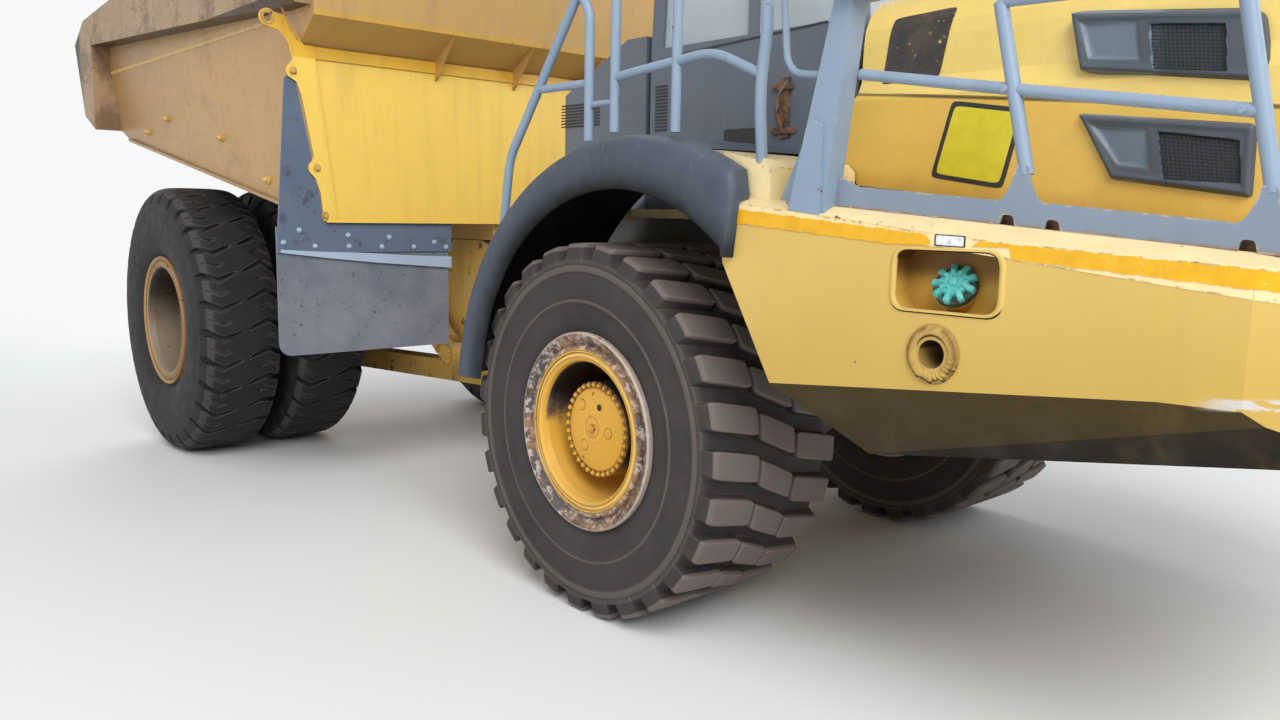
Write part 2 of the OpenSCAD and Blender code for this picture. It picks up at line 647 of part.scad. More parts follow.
module cab_door() color(slate) truck() {
    x0 = door_hinge[0] + door_gap;
    x1 = door_hinge[0] + door_w - door_gap;
    difference() {
        block([x0, door_y, door_lo + door_gap], [x1, cab_y, door_hi - door_gap]);
        block([x0 + 80, door_y - 10, belt_z], [x1 - 80, cab_y + 10, door_hi - door_gap - 80]);
    }
    // Hinge knuckles
    difference() {
        for (z = hinge_zs) {
            translate([door_hinge[0], door_hinge[1], z]) cylinder(h = knuckle_h, r = knuckle_r);
            block([door_hinge[0], cab_y + 4, z], [x0 + 60, door_hinge[1], z + knuckle_h]);
            block([x0 + 10, cab_y - 5, z], [x0 + 60, cab_y + 10, z + knuckle_h]);
        }
        translate([door_hinge[0], door_hinge[1], door_lo])
            cylinder(h = door_hi - door_lo, r = knuckle_pin_r + run_fit);
    }
    block([x1 - 60, cab_y, 2760], [x1 - 30, cab_y + 35, 2900]);
}
module door_glass() color([0.75, 0.82, 0.84, 0.5]) truck() {
    x0 = door_hinge[0] + door_gap + 80 + seat_fit;
    x1 = door_hinge[0] + door_w - door_gap - 80 - seat_fit;
    block([x0, cab_y - cab_t / 2 - pane_t / 2, belt_z + seat_fit],
        [x1, cab_y - cab_t / 2 + pane_t / 2, door_hi - door_gap - 80 - seat_fit]);
}
module rear_box() color(slate) truck() {
    side_cut(2 * cab_y) polygon([
        [-1200, deck_hi], [cab_rear - 40, deck_hi], [cab_rear - 40, 3000], [-620, 3000], [-1200, 2730]
    ]);
}

// Hood
hood_pivot = [nose_reach - 60, 1935];
hood_pin_r = 16;
hood_hinge_y = 600;
hood_rear = 1120;
grille_x = nose_reach - 65;
grille_y = 640;
grille_lo = 2130;
grille_hi = 2430;
hood_top = [[hood_rear, 3020], [nose_reach - 450, 2820]];
hood_low = [[1150, 2160], [nose_reach - 100, 1945]];
seam = [[1120, 2550], [nose_reach - 20, 2330]];
hood_side = [
    hood_low[0], [1000, 2360], [hood_rear, 2550], hood_top[0], hood_top[1], [nose_reach - 200, 2680],
    [nose_reach - 70, 2450],
    [nose_reach - 45, 2100], [nose_reach - 50, 1960], hood_low[1]
];
hood_side_in = [
    [900, 2000], [900, 2960], [hood_top[1][0], hood_top[1][1] - hood_t], [nose_reach - 225, 2650],
    [nose_reach - 102, 2440],
    [nose_reach - 45 - hood_t, 2100], [nose_reach - 50 - hood_t, 1900]
];
module hood_section(inset) {
    y = hood_y - inset;
    half = concat(
        [[y, 1800], [y, 2520], [y - 35, 2600]], arc(y - 250, 2760 - inset, 210, 0, 80, 5), [[0, 3060 - inset]]
    );
    polygon(concat(half, [for (i = [len(half) - 2:-1:0]) [-half[i][0], half[i][1]]]));
}
module hood_shell() color(cream) truck() difference() {
    union() {
        difference() {
            intersection() {
                side_cut(2 * hood_y) polygon(hood_side);
                end_cut(3000, 800) hood_section(0);
            }
            intersection() {
                side_cut(2 * hood_y) polygon(hood_side_in);
                end_cut(3000, 700) hood_section(hood_t);
            }
        }
        // Hinge knuckles inside the nose
        both() side_cut(60, hood_hinge_y + 0) {
            translate(hood_pivot) circle(34);
            translate([hood_pivot[0] - 34, hood_pivot[1]]) square([54, 200]);
        }
    }
    both() to_y(hood_pivot[0], hood_hinge_y - 60, hood_pivot[1]) cylinder(h = 120, r = hood_pin_r + run_fit);
    // Slots round the bumper's hinge lugs
    both() for (y = [hood_hinge_y - 70, hood_hinge_y + 40])
        block([hood_pivot[0] - 60, y - move_gap, 1800], [nose_reach, y + 30 + move_gap, hood_pivot[1] + 60]);
    // Groove between the upper part and the side bulge
    both() side_cut(20, hood_y) polygon([
        seam[0] + [-10, 0], seam[1], seam[1] + [0, 10], seam[0] + [-10, 10]
    ]);
    // Opening behind the grille
    block([grille_x - 200, -grille_y, grille_lo], [nose_reach + 50, grille_y, grille_hi]);
}
// A vent's frame with a scoop towards the rear and a recess for the mesh
module vent(p, scoop, mesh) difference() {
    side_cut(90, hood_y - 21) polygon(p);
    end_cut(3000, 800) hood_section(-seat_fit);
    side_cut(2 * vent_depth, hood_y + 24) polygon(mesh);
    side_cut(vent_depth, hood_y + 24) polygon(scoop);
}
vent_depth = 18;
vent_high = [[2040, 2770], [2690, 2690], [2740, 2470], [2090, 2550]];
vent_low = [[2090, 2400], [2760, 2350], [2710, 2100], [2260, 2190]];
mesh_high = [[2420, 2705], [2655, 2675], [2685, 2510], [2440, 2545]];
scoop_high = [[2085, 2725], [2400, 2700], [2420, 2545], [2125, 2585]];
mesh_low = [[2440, 2345], [2700, 2325], [2670, 2145], [2460, 2185]];
scoop_low = [[2150, 2370], [2420, 2350], [2440, 2190], [2290, 2215]];
module hood_vents() color(slate) truck() both() {
    vent(vent_low, scoop_low, mesh_low);
    vent(vent_high, scoop_high, mesh_high);
}
module hood_grille() color(black) truck() {
    bars = 7;
    bar_pitch = 44;
    bar_h = 20;
    post = 38;
    half = grille_y - seat_fit;
    both() block([grille_x - 45, half - post, grille_lo + seat_fit], [grille_x, half, grille_hi - seat_fit]);
    for (i = [0:bars - 1]) {
        z = grille_lo + 10 + bar_pitch * i;
        block([grille_x - 35, -half + 10, z], [grille_x - 8, half - 10, z + bar_h]);
    }
}

// Hitch and steering cylinders
tube_z = cylinder_z;
trunnion_r = 150;
trunnion_end = hitch_x - 700;
collar_x = hitch_x - 250;
module hitch_yoke() color(yellow) truck() difference() {
    union() {
        translate([hitch_x, 0, hitch_lo + move_gap])
            cylinder(h = hitch_hi - hitch_lo - 2 * move_gap, r = ear_r);
        to_x(trunnion_end, 0, tube_z) cylinder(h = hitch_x - trunnion_end, r = trunnion_r);
        to_x(collar_x, 0, tube_z) cylinder(h = 60, r = 230);
        both() clevis_plates(cylinder_z, eye_t) {
            translate([hitch_x, 0] + steer_arm) circle(80);
            polygon([
                [hitch_x - 130, 0], [hitch_x + 110, 0], [hitch_x + 110, 120],
                [hitch_x + steer_arm[0] + 76, steer_arm[1]], [hitch_x + steer_arm[0] - 76, steer_arm[1]],
                [hitch_x - 130, 120]
            ]);
        }
    }
    translate([hitch_x, 0, hitch_lo - 20]) cylinder(h = hitch_hi - hitch_lo + 40, r = pin_r + run_fit);
}
steer_reach = norm([hitch_x, 0] + steer_arm - steer_base);
steer_angle = atan2(steer_arm[1] - steer_base[1], hitch_x + steer_arm[0] - steer_base[0]);
steer_barrel_l = 825;
steer_rod_l = 760;
// Distance from a cylinder's eye to its barrel, past the clevis
neck_gap = 22;
module along_ram(base, angle, s) on_side(s) truck() translate([base[0], base[1], cylinder_z])
    rotate(angle) children();
module barrel_shape(l, r, rod_r, eye_r, t, hole_r) difference() {
    union() {
        translate([0, 0, -t / 2]) cylinder(h = t, r = eye_r);
        to_x(eye_r * 0.5, 0, 0) cylinder(h = eye_r, r = t / 2 - 4);
        to_x(eye_r + neck_gap, 0, 0) cylinder(h = l - eye_r - neck_gap, r = r);
        to_x(l - 60, 0, 0) cylinder(h = 60, r = r + 12);
    }
    translate([0, 0, -t]) cylinder(h = 2 * t, r = hole_r + run_fit);
    to_x(eye_r + neck_gap + 30, 0, 0) cylinder(h = l, r = rod_r + run_fit);
}
module rod_shape(reach, l, rod_r, eye_r, t, hole_r) difference() {
    union() {
        to_x(reach - l, 0, 0) cylinder(h = l - eye_r * 0.5, r = rod_r);
        translate([reach, 0, -t / 2]) cylinder(h = t, r = eye_r);
    }
    translate([reach, 0, -t]) cylinder(h = 2 * t, r = hole_r);
}
module steer_barrel(s) color(yellow) along_ram(steer_base, steer_angle, s)
    barrel_shape(steer_barrel_l, 68, 38, steer_eye_r, eye_t, steer_pin_r);
module steer_rod(s) color(steel) along_ram(steer_base, steer_angle, s)
    rod_shape(steer_reach, steer_rod_l, 38, steer_eye_r, eye_t, steer_pin_r);
module steer_barrel_right() steer_barrel(-1);
module steer_barrel_left() steer_barrel(1);
module steer_rod_right() steer_rod(-1);
module steer_rod_left() steer_rod(1);

// Rear frame, axle and drive
beam_in = 360;
beam_out = 480;
frame_top = 1800;
tip_pivot = [rear_x - 1190, 1900];
tip_pin_r = 60;
tip_base = [-3000, 900];
tip_eye = [rear_x + 110, 2150];
tip_y = 620;
tip_eye_t = 120;
tip_base_r = 55;
frame_side = [
    [hitch_x - 400, 900], [-2400, 760], [-2900, 780], [-3600, 1330], [rear_x - 1280, 1400],
    [rear_x - 1330, 1500], [rear_x - 1330, 1740], [rear_x - 1280, frame_top], [-2800, frame_top], [-2300, 1560],
    [hitch_x - 400, 1300]
];
module rear_frame() color(yellow) truck() {
    difference() {
        union() {
            to_x(trunnion_end - 60, 0, tube_z) cylinder(h = collar_x - move_gap - trunnion_end + 60, r = 255);
            both() side_cut(beam_out - beam_in, (beam_in + beam_out) / 2) polygon(frame_side);
            for (x = [hitch_x - 760, -2800, -3700, rear_x - 700, rear_x - 1200])
                block([x, -beam_in, 1420], [x + 130, beam_in, 1700]);
            block([hitch_x - 700, -beam_in, 900], [hitch_x - 420, beam_in, 1300]);
            block([hitch_x - 1150, -beam_in, 780], [hitch_x - 1000, beam_in, 900]);
        }
        to_x(trunnion_end - 100, 0, tube_z) cylinder(h = 900, r = trunnion_r + run_fit);
    }
    both() {
        // Lugs and pin of the bin's hinge
        side_cut(beam_out - beam_in, (beam_in + beam_out) / 2) {
            translate(tip_pivot) circle(110);
            translate([tip_pivot[0] - 110, frame_top - 100]) square([220, tip_pivot[1] - frame_top + 100]);
        }
        to_y(tip_pivot[0], beam_in, tip_pivot[1]) cylinder(h = beam_out - beam_in + 100, r = tip_pin_r);
        // Pins of the tipping cylinders
        to_y(tip_base[0], beam_out - 10, tip_base[1])
            cylinder(h = tip_y + tip_eye_t / 2 + move_gap - beam_out + 30, r = tip_base_r);
        to_y(tip_base[0], tip_y + tip_eye_t / 2 + move_gap, tip_base[1]) cylinder(h = 20, r = 80);
    }
    // Bar for the tail lamps
    block([rear_x - 1330, -1150, 1480], [rear_x - 1230, 1150, 1640]);
}
pinion_reach = 550;
module rear_axle() color(yellow) truck() {
    ball_r = 320;
    housing_r = 165;
    strut_r = 100;
    translate([rear_x, 0, rear_z]) sphere(ball_r);
    to_x(rear_x + 250, 0, rear_z) cylinder(h = pinion_reach - 250, r = 120);
    to_y(rear_x, -rear_track / 2 + 560, rear_z) cylinder(h = rear_track - 1120, r = housing_r);
    both() {
        to_y(rear_x, rear_track / 2 - 600, rear_z) cylinder(h = 40, r = 260);
        to_y(rear_x, rear_track / 2 - 590, rear_z)
            cylinder(h = 590 + rear_hub_out - hub_cap_t - 5, r = rear_spindle_r);
        translate([rear_x, (beam_in + beam_out) / 2, rear_z])
            cylinder(h = on_line(frame_side[3], frame_side[4], rear_x) - rear_z - 2, r = 58);
        // Arm of the drawbar that runs forward to the frame
        plan_cut(170, 600) polygon([
            [rear_x + 60, 480], [rear_x + 60, 660], [-2620, 170], [-2620, 0], [-2800, 0]
        ]);
        block([rear_x - 110, 480, 600], [rear_x + 110, 660, rear_z]);
    }
    block([-2640, -170, 600], [-2470, 170, 780]);
}
module driveshaft() color(steel) truck() {
    shaft_r = 55;
    front_end = [-2870, 0, 1000];
    rear_end = [rear_x + pinion_reach + seat_fit, 0, rear_z];
    run = front_end - rear_end;
    to_x(-2900, 0, 1000) cylinder(h = 60, r = 110);
    // Its end face leans, so the shaft starts that much further forward
    rod(rear_end + [shaft_r * (rear_z - 1000) / norm(run), 0, 0], front_end, shaft_r);
}
module tail_lamps() color([0.7, 0.1, 0.08]) truck()
    both() for (y = [780, 960]) block([rear_x - 1370, y, 1500], [rear_x - 1330, y + 140, 1620]);

// Tipping cylinders
tip_run = tip_eye - tip_base;
tip_reach = norm(tip_run);
tip_angle = atan2(tip_run[1], tip_run[0]);
module along_tip() truck() both() translate([tip_base[0], tip_y, tip_base[1]])
    rotate([0, -tip_angle, 0]) rotate([90, 0, 0]) children();
module tip_barrels() color(yellow) along_tip() barrel_shape(1960, 105, 62, 92, tip_eye_t, tip_base_r);
module tip_rods() color(steel) along_tip() rod_shape(tip_reach, 1900, 62, 92, tip_eye_t, tip_base_r);

// Bin
bin_front = -2600;
sill = [[bin_front, 1930], [rear_x - 1690, 2620]];
chute = [rear_x - 2290, 2870];
tail_tip = [tail_x, 3560];
tail_top = [rear_x - 2190, 3750];
head_low = [bin_front + 280, 3210];
head_foot = [bin_front, 3060];
head_top = [bin_front + 540, bin_top_z];
bin_side = [
    sill[0], head_foot, head_low, head_top, [bin_front + 260, bin_top_z], tail_top, tail_tip, chute, sill[1]
];
bin_side_in = [
    [sill[0][0] - bin_t, sill[0][1] + bin_t], [head_foot[0] - bin_t, head_foot[1] + 20],
    [head_low[0] - bin_t, head_low[1] + 20], [head_top[0] - bin_t + 15, bin_top_z + 50],
    [tail_x - 100, bin_top_z + 50], [tail_x - 100, chute[1] + bin_t + 136],
    [chute[0], chute[1] + bin_t], [sill[1][0], sill[1][1] + bin_t]
];
shelf_z = 3300;
module bin_section(inset) {
    y0 = bin_floor_y - inset;
    y1 = bin_top_y - inset;
    polygon([[-y0, 1900], [y0, 1900], [y1, shelf_z], [y1, 4300], [-y1, 4300], [-y1, shelf_z]]);
}
function sill_z(x) = on_line(sill[0], sill[1], x);
// A point just inside the bin's floor plate at x
function on_sill(x) = [x, sill_z(x) + 20];
// Half width of the bin at height z, below its shelf
function wall_y(z) = on_line([1900, bin_floor_y], [shelf_z, bin_top_y], z);
strip_t = 12;
rib_xs = [-6780, -5620, -4370, -3480];
ear_hole = [2190, 3200];
flange_edge = concat(
    [[1790, 1940], [1856, 1940], [1872, 2120], [1905, 2215]], arc(1905, 2284, 48, -50, 60, 4),
    [[1914, 2360], [1984, 2740], [2014, 2822]], arc(2040, 2889, 46, -50, 60, 4),
    [[2040, 2960], [2062, 3060], [2120, 3128]], arc(ear_hole[0], ear_hole[1], 54, -60, 135, 7),
    [[2090, 3225], [2010, 3130], [1960, 3060], [1890, 2900], [1810, 2300]]
);
module bin_shell() color(yellow) truck() {
    difference() {
        intersection() {
            side_cut(2 * bin_rail_y) polygon(bin_side);
            end_cut(7000, tail_x - 50) bin_section(0);
        }
        intersection() {
            side_cut(2 * bin_rail_y) polygon(bin_side_in);
            end_cut(7000, tail_x - 200) bin_section(bin_t);
        }
    }
    // Strip along the top of the front wall, lip along its foot, and gussets under the headboard
    block([bin_front - 5, -wall_y(2980) + 5, 2980], [bin_front + strip_t, wall_y(2980) - 5, 3055]);
    block([bin_front - 5, -bin_floor_y, sill[0][1]], [bin_front + 40, bin_floor_y, sill[0][1] + 18]);
    both() for (y = [330, 990]) side_cut(16, y) polygon([
        [bin_front - 5, 2930], [bin_front + strip_t, 2930], [head_low[0] - 10, head_low[1] - 8],
        [head_low[0] - 30, head_low[1]], [bin_front - 5, head_foot[1] + 10]
    ]);
    // Cross ribs under the floor
    for (x = rib_xs) side_cut(3000) polygon([
        [x, sill_z(x) + 20], [x, sill_z(x) - 120], [x + 30, sill_z(x) - 140], [x + 110, sill_z(x) - 140],
        [x + 140, sill_z(x) - 120], [x + 140, sill_z(x) + 20]
    ]);
    both() {
        // Corner flange of the front wall, with two bolt lobes and the lifting ear
        end_cut(strip_t + 14, bin_front - 5) polygon([
            [wall_y(1950) - 90, 1940], [wall_y(1950) - 15, 1940],
            [wall_y(3060) - 15, 3060], [wall_y(3060) - 90, 3060]
        ]);
        difference() {
            end_cut(14, bin_front + strip_t) polygon(flange_edge);
            to_x(bin_front, ear_hole[0], ear_hole[1]) cylinder(h = 50, r = 26);
        }
        // Lip along the foot of the side wall
        intersection() {
            side_cut(2 * bin_rail_y) polygon([
                sill[0], sill[0] + [0, 26], sill[1] + [0, 26], sill[1]
            ]);
            end_cut(7000, tail_x - 50) polygon([
                [wall_y(1900) - 15, 1900], [wall_y(1900) + 26, 1900], [wall_y(2700) + 26, 2700],
                [wall_y(2700) - 15, 2700]
            ]);
        }
        // Long beams under the floor
        side_cut(beam_out - beam_in, (beam_in + beam_out) / 2) polygon([
            on_sill(bin_front - 40), [bin_front - 40, frame_top + move_gap],
            [tip_pivot[0] + 160, frame_top + move_gap], on_sill(tip_pivot[0] + 160)
        ]);
        // Hinge lugs
        difference() {
            side_cut(60, beam_out + move_gap + 30) {
                translate(tip_pivot) circle(115);
                polygon([
                    [tip_pivot[0] - 115, tip_pivot[1]], [tip_pivot[0] + 115, tip_pivot[1]],
                    on_sill(tip_pivot[0] + 300), on_sill(tip_pivot[0] - 300)
                ]);
            }
            to_y(tip_pivot[0], beam_out - 50, tip_pivot[1]) cylinder(h = 200, r = tip_pin_r + run_fit);
        }
        // Plates that take the tipping cylinders' rods
        for (y = [tip_y - tip_eye_t / 2 - 15 - 25, tip_y + tip_eye_t / 2 + 15]) side_cut(25, y + 12.5) {
            translate(tip_eye) circle(95);
            polygon([
                [tip_eye[0] - 95, tip_eye[1]], [tip_eye[0] + 95, tip_eye[1]],
                on_sill(tip_eye[0] + 200), on_sill(tip_eye[0] - 260)
            ]);
        }
        to_y(tip_eye[0], tip_y + tip_eye_t / 2 + 40, tip_eye[1]) cylinder(h = 25, r = 60);
    }
}
rail_low = [[bin_front - 40, 3270], [rear_x - 1790, 3500]];
post_w = 340;
module bin_rails() color(weathered) truck() both() {
    // Box rail along the top
    intersection() {
        side_cut(2 * bin_rail_y) polygon([
            rail_low[0], [bin_front + 260, rail_low[0][1]], [bin_front + 260, bin_top_z], tail_top, tail_tip,
            [chute[0] - 170, 3350], [chute[0] + post_w, 3350], [chute[0] + post_w, rail_low[1][1]]
        ]);
        end_cut(7000, tail_x - 50) polygon([
            [bin_top_y, shelf_z - 30], [bin_rail_y - 60, shelf_z - 30], [bin_rail_y, shelf_z + 30],
            [bin_rail_y, bin_top_z], [bin_top_y, bin_top_z]
        ]);
    }
    // Post at the tail
    intersection() {
        side_cut(2 * bin_rail_y) polygon([
            tail_top, tail_tip, chute, [chute[0] + post_w, on_line(chute, sill[1], chute[0] + post_w)],
            [chute[0] + post_w, 3600]
        ]);
        end_cut(7000, tail_x - 50) polygon([
            [wall_y(2700) + seat_fit, 2700], [bin_rail_y, 2700], [bin_rail_y, shelf_z + 100],
            [bin_top_y + seat_fit, shelf_z + 100], [bin_top_y + seat_fit, shelf_z]
        ]);
    }
}
module mudguards() color(slate) truck() both() {
    end_cut(12, bin_front) polygon([
        [880, 1730], [2170, 1730], [2160, 1910], [2090, 2840], [2030, 2900], [bin_floor_y + 10, 1970],
        [bin_floor_y + 4, sill[0][1]], [880, sill[0][1]]
    ]);
}
module mud_flaps() color([0.3, 0.31, 0.32]) truck() both() {
    end_cut(14, bin_front - 14) polygon(concat(
        [[900, 1050]], arc(2090, 1130, 80, -90, 0, 4), [[2170, 1900], [1100, 1900], [900, 1780]]
    ));
}

front_frame();
front_axle();
engine();
bumper();
filler_cap();
fenders();
decks();
steps();
walkway_rails();
fender_rails();
mirrors();
cab_shell();
cab_glass();
cab_interior();
seat();
rear_box();
headlamps();
cab_door();
door_glass();
hood_shell();
hood_vents();
hood_grille();
hitch_yoke();
steer_barrel_right();
steer_barrel_left();
steer_rod_right();
steer_rod_left();
rear_frame();
rear_axle();
driveshaft();
tail_lamps();
tip_barrels();
tip_rods();
bin_shell();
bin_rails();
mudguards();
mud_flaps();
front_tyre_right();
front_tyre_left();
front_rim_right();
front_rim_left();
rear_tyres_right();
rear_tyres_left();
rear_rims_right();
rear_rims_left();
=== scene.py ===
# Articulated dump truck, dressed for the camera. Metres, +X forward, +Y to the truck's left, +Z up.
# Each section makes one part of the truck: its sizes, its surfaces, its finish and the body that it rides on.
# Sizes along the truck are written from the front axle and shifted to the model's own origin by put_on().

import json
import math

import bmesh
import bpy
import numpy as np
from mathutils import Matrix, Vector

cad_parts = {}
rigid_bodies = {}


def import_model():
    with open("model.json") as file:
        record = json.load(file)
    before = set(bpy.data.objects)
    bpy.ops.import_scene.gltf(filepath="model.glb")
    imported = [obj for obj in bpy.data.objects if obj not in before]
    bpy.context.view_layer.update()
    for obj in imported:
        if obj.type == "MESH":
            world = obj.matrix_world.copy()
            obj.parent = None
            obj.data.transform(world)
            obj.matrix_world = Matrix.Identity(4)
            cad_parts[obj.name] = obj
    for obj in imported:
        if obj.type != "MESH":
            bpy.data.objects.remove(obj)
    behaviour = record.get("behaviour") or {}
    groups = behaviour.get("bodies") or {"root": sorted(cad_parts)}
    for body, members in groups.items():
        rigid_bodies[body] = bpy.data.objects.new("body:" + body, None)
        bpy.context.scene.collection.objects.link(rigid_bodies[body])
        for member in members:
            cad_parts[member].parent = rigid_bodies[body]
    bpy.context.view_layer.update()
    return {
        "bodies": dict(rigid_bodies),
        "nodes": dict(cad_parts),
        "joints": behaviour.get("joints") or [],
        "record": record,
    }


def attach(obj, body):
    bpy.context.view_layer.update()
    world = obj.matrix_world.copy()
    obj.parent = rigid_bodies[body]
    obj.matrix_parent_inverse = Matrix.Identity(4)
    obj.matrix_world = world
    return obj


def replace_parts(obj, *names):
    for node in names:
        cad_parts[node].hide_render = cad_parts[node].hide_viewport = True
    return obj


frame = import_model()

cad = frame["nodes"]

# The studio: a pale floor that fades into a pale backdrop, soft lamps, and the camera low on the truck's
# right, where the photographer stood. The camera's place was worked out from the wheels in the photograph.
yaw, pitch, roll = math.radians(138.26), math.radians(-8.225), math.radians(1.04)
look = np.array([math.cos(yaw) * math.cos(pitch), math.sin(yaw) * math.cos(pitch), math.sin(pitch)])
level = np.array([math.sin(yaw), -math.cos(yaw), 0.0])
upright = np.cross(level, look)
camera = bpy.data.objects.new("camera", bpy.data.cameras.new("camera"))
camera.data.lens = 28.13
camera.data.sensor_width = 36
camera.data.clip_start = 0.05
camera.data.clip_end = 300
turned = np.eye(4)
turned[:3, 0] = math.cos(roll) * level + math.sin(roll) * upright
turned[:3, 1] = -math.sin(roll) * level + math.cos(roll) * upright
turned[:3, 2] = -look
turned[:3, 3] = (5.884, -4.739, 2.014)
camera.matrix_world = Matrix(turned.tolist())
bpy.context.scene.collection.objects.link(camera)
bpy.context.scene.camera = camera
bpy.context.scene.view_settings.view_transform = "Standard"


def node(tree, kind, inputs=None, **settings):
    """Adds one shader node; an input takes a number, a colour or another node's output."""
    made = tree.nodes.new("ShaderNode" + kind)
    for key, value in settings.items():
        setattr(made, key, value)
    for key, value in (inputs or {}).items():
        if isinstance(value, bpy.types.NodeSocket):
            tree.links.new(value, made.inputs[key])
        elif isinstance(value, tuple) and len(value) == 3 and made.inputs[key].type == "RGBA":
            made.inputs[key].default_value = (*value, 1)
        else:
            made.inputs[key].default_value = value
    return made


def maths(tree, operation, a, b=0.5, c=0.5, clamp=False):
    """One step of arithmetic on values that vary over the surface."""
    return node(tree, "Math", {0: a, 1: b, 2: c}, operation=operation, use_clamp=clamp).outputs[0]


def times(tree, a, b, clamp=False):
    """The product of two values, such as two masks that both have to hold."""
    return maths(tree, "MULTIPLY", a, b, clamp=clamp)


def between(tree, value, low, high, to_low=0.0, to_high=1.0):
    """A soft step: to_low below low, to_high above high."""
    return node(tree, "MapRange", {
        "Value": value, "From Min": low, "From Max": high, "To Min": to_low, "To Max": to_high
    }, interpolation_type="SMOOTHSTEP").outputs[0]


def finish_of(name):
    """A new material with its Principled shader and the surface's own coordinates."""
    made = bpy.data.materials.new(name)
    made.use_nodes = True
    shader = made.node_tree.nodes["Principled BSDF"]
    return made, made.node_tree, shader.inputs, node(made.node_tree, "TexCoord").outputs


def lamp(name, at, towards, size, watts, colour=(1, 1, 1)):
    """A square softbox at a point, facing another point."""
    made = bpy.data.objects.new(name, bpy.data.lights.new(name, "AREA"))
    made.data.size, made.data.energy, made.data.color = size, watts, colour
    facing = (Vector(towards) - Vector(at)).to_track_quat("-Z", "Y")
    made.matrix_world = Matrix.Translation(at) @ facing.to_matrix().to_4x4()
    bpy.context.scene.collection.objects.link(made)


def background_rays(tree):
    """1 where the camera, a reflection or glass looks straight at the surface."""
    ray = node(tree, "LightPath").outputs
    seen = maths(tree, "MAXIMUM", ray["Is Camera Ray"], ray["Is Glossy Ray"])
    return maths(tree, "MAXIMUM", seen, ray["Is Transmission Ray"])


lamp("key_lamp", (13, -8, 12), (0, 0, 1.5), 10, 2450)
lamp("side_lamp", (-2, -16, 8), (-2, 0, 1.5), 9, 400)
lamp("fill_lamp", (13, 10, 9), (0, 0, 1.5), 10, 700)
lamp("tail_lamp", (-14, 4, 9), (-2, 0, 2), 9, 900)
backdrop = (0.93, 0.94, 0.95)
world = bpy.data.worlds.new("studio")
bpy.context.scene.world = world
world.use_nodes = True
tree = world.node_tree
tree.nodes.clear()
sky = node(tree, "Background", {"Color": (0.88, 0.93, 1.0), "Strength": 0.44})
white = node(tree, "Background", {"Color": backdrop, "Strength": 1.0})
mixed = node(tree, "MixShader", {0: background_rays(tree), 1: sky.outputs[0], 2: white.outputs[0]})
tree.links.new(mixed.outputs[0], node(tree, "OutputWorld").inputs[0])

floor_mesh = bpy.data.meshes.new("floor")
floor_mesh.from_pydata([(-90, -90, 0), (90, -90, 0), (90, 90, 0), (-90, 90, 0)], [], [(0, 1, 2, 3)])
floor = bpy.data.objects.new("floor", floor_mesh)
bpy.context.scene.collection.objects.link(floor)
pale, tree, shader, own = finish_of("pale floor")
shader["Base Color"].default_value = (0.86, 0.86, 0.85, 1)
shader["Roughness"].default_value = 0.8
shader["Specular IOR Level"].default_value = 0.2
away = node(tree, "VectorMath", {0: own["Object"]}, operation="LENGTH").outputs["Value"]
share = times(tree, between(tree, away, 7.0, 17.0), background_rays(tree))
glow = node(tree, "Emission", {"Color": backdrop, "Strength": 1.0})
mixed = node(tree, "MixShader", {0: share, 1: tree.nodes["Principled BSDF"].outputs[0], 2: glow.outputs[0]})
tree.links.new(mixed.outputs[0], tree.nodes["Material Output"].inputs[0])
floor_mesh.materials.append(pale)

# The front tyres: moulded rubber, brown-grey with dried mud, with three rows of 27 leaning blocks. The side
# walls are turned profiles with a raised rib, and each block is an outline carried up from the casing.
front_axle_x = 2.05
front_r = 0.94
front_middle = (0.0, 1.29, front_r)
both_sides = ((-1, "right"), (1, "left"))


def blend(tree, share, first, second, how="MIX"):
    """Goes from the first colour to the second as share goes from 0 to 1."""
    return node(tree, "Mix", {0: share, 6: first, 7: second}, data_type="RGBA", blend_type=how).outputs[2]


def times_plus(tree, a, share, start, clamp=False):
    """A share of a, added to start."""
    return maths(tree, "MULTIPLY_ADD", a, share, start, clamp)


def cloud(tree, where, scale, detail=4.0, roughness=0.6):
    """Soft random patches, 0 to 1, with scale patches to the metre, on a finish's own coordinates or a place
    worked out from them."""
    if not isinstance(where, bpy.types.NodeSocket):
        where = where["Object"]
    return node(tree, "TexNoise", {
        "Vector": where, "Scale": scale, "Detail": detail, "Roughness": roughness
    }).outputs["Fac"]


def stretched(tree, where, scale=(1, 1, 1), location=(0, 0, 0)):
    """A place scaled along each axis, then shifted."""
    return node(tree, "Mapping", {"Vector": where, "Scale": scale, "Location": location}).outputs[0]


def show(tree, shader, colour, patch, *rough):
    """Puts a finish's colour in place, and a roughness that follows a cloud's patches."""
    tree.links.new(colour, shader["Base Color"])
    tree.links.new(between(tree, patch, *rough), shader["Roughness"])


def bumped(tree, shader, height, strength, distance):
    """Tilts the surface's normal by a height that varies over it."""
    tree.links.new(
        node(tree, "Bump", {"Height": height, "Strength": strength, "Distance": distance}).outputs[0],
        shader["Normal"])


def effect(name, inputs, outputs):
    """An empty node group with named sockets: returns its tree, what comes in, and its output node."""
    tree = bpy.data.node_groups.new(name, "ShaderNodeTree")
    for label, kind, start in inputs:
        tree.interface.new_socket(label, in_out="INPUT",
                                  socket_type="NodeSocket" + kind).default_value = start
    for label, kind in outputs:
        tree.interface.new_socket(label, in_out="OUTPUT", socket_type="NodeSocket" + kind)
    return tree, tree.nodes.new("NodeGroupInput").outputs, tree.nodes.new("NodeGroupOutput")


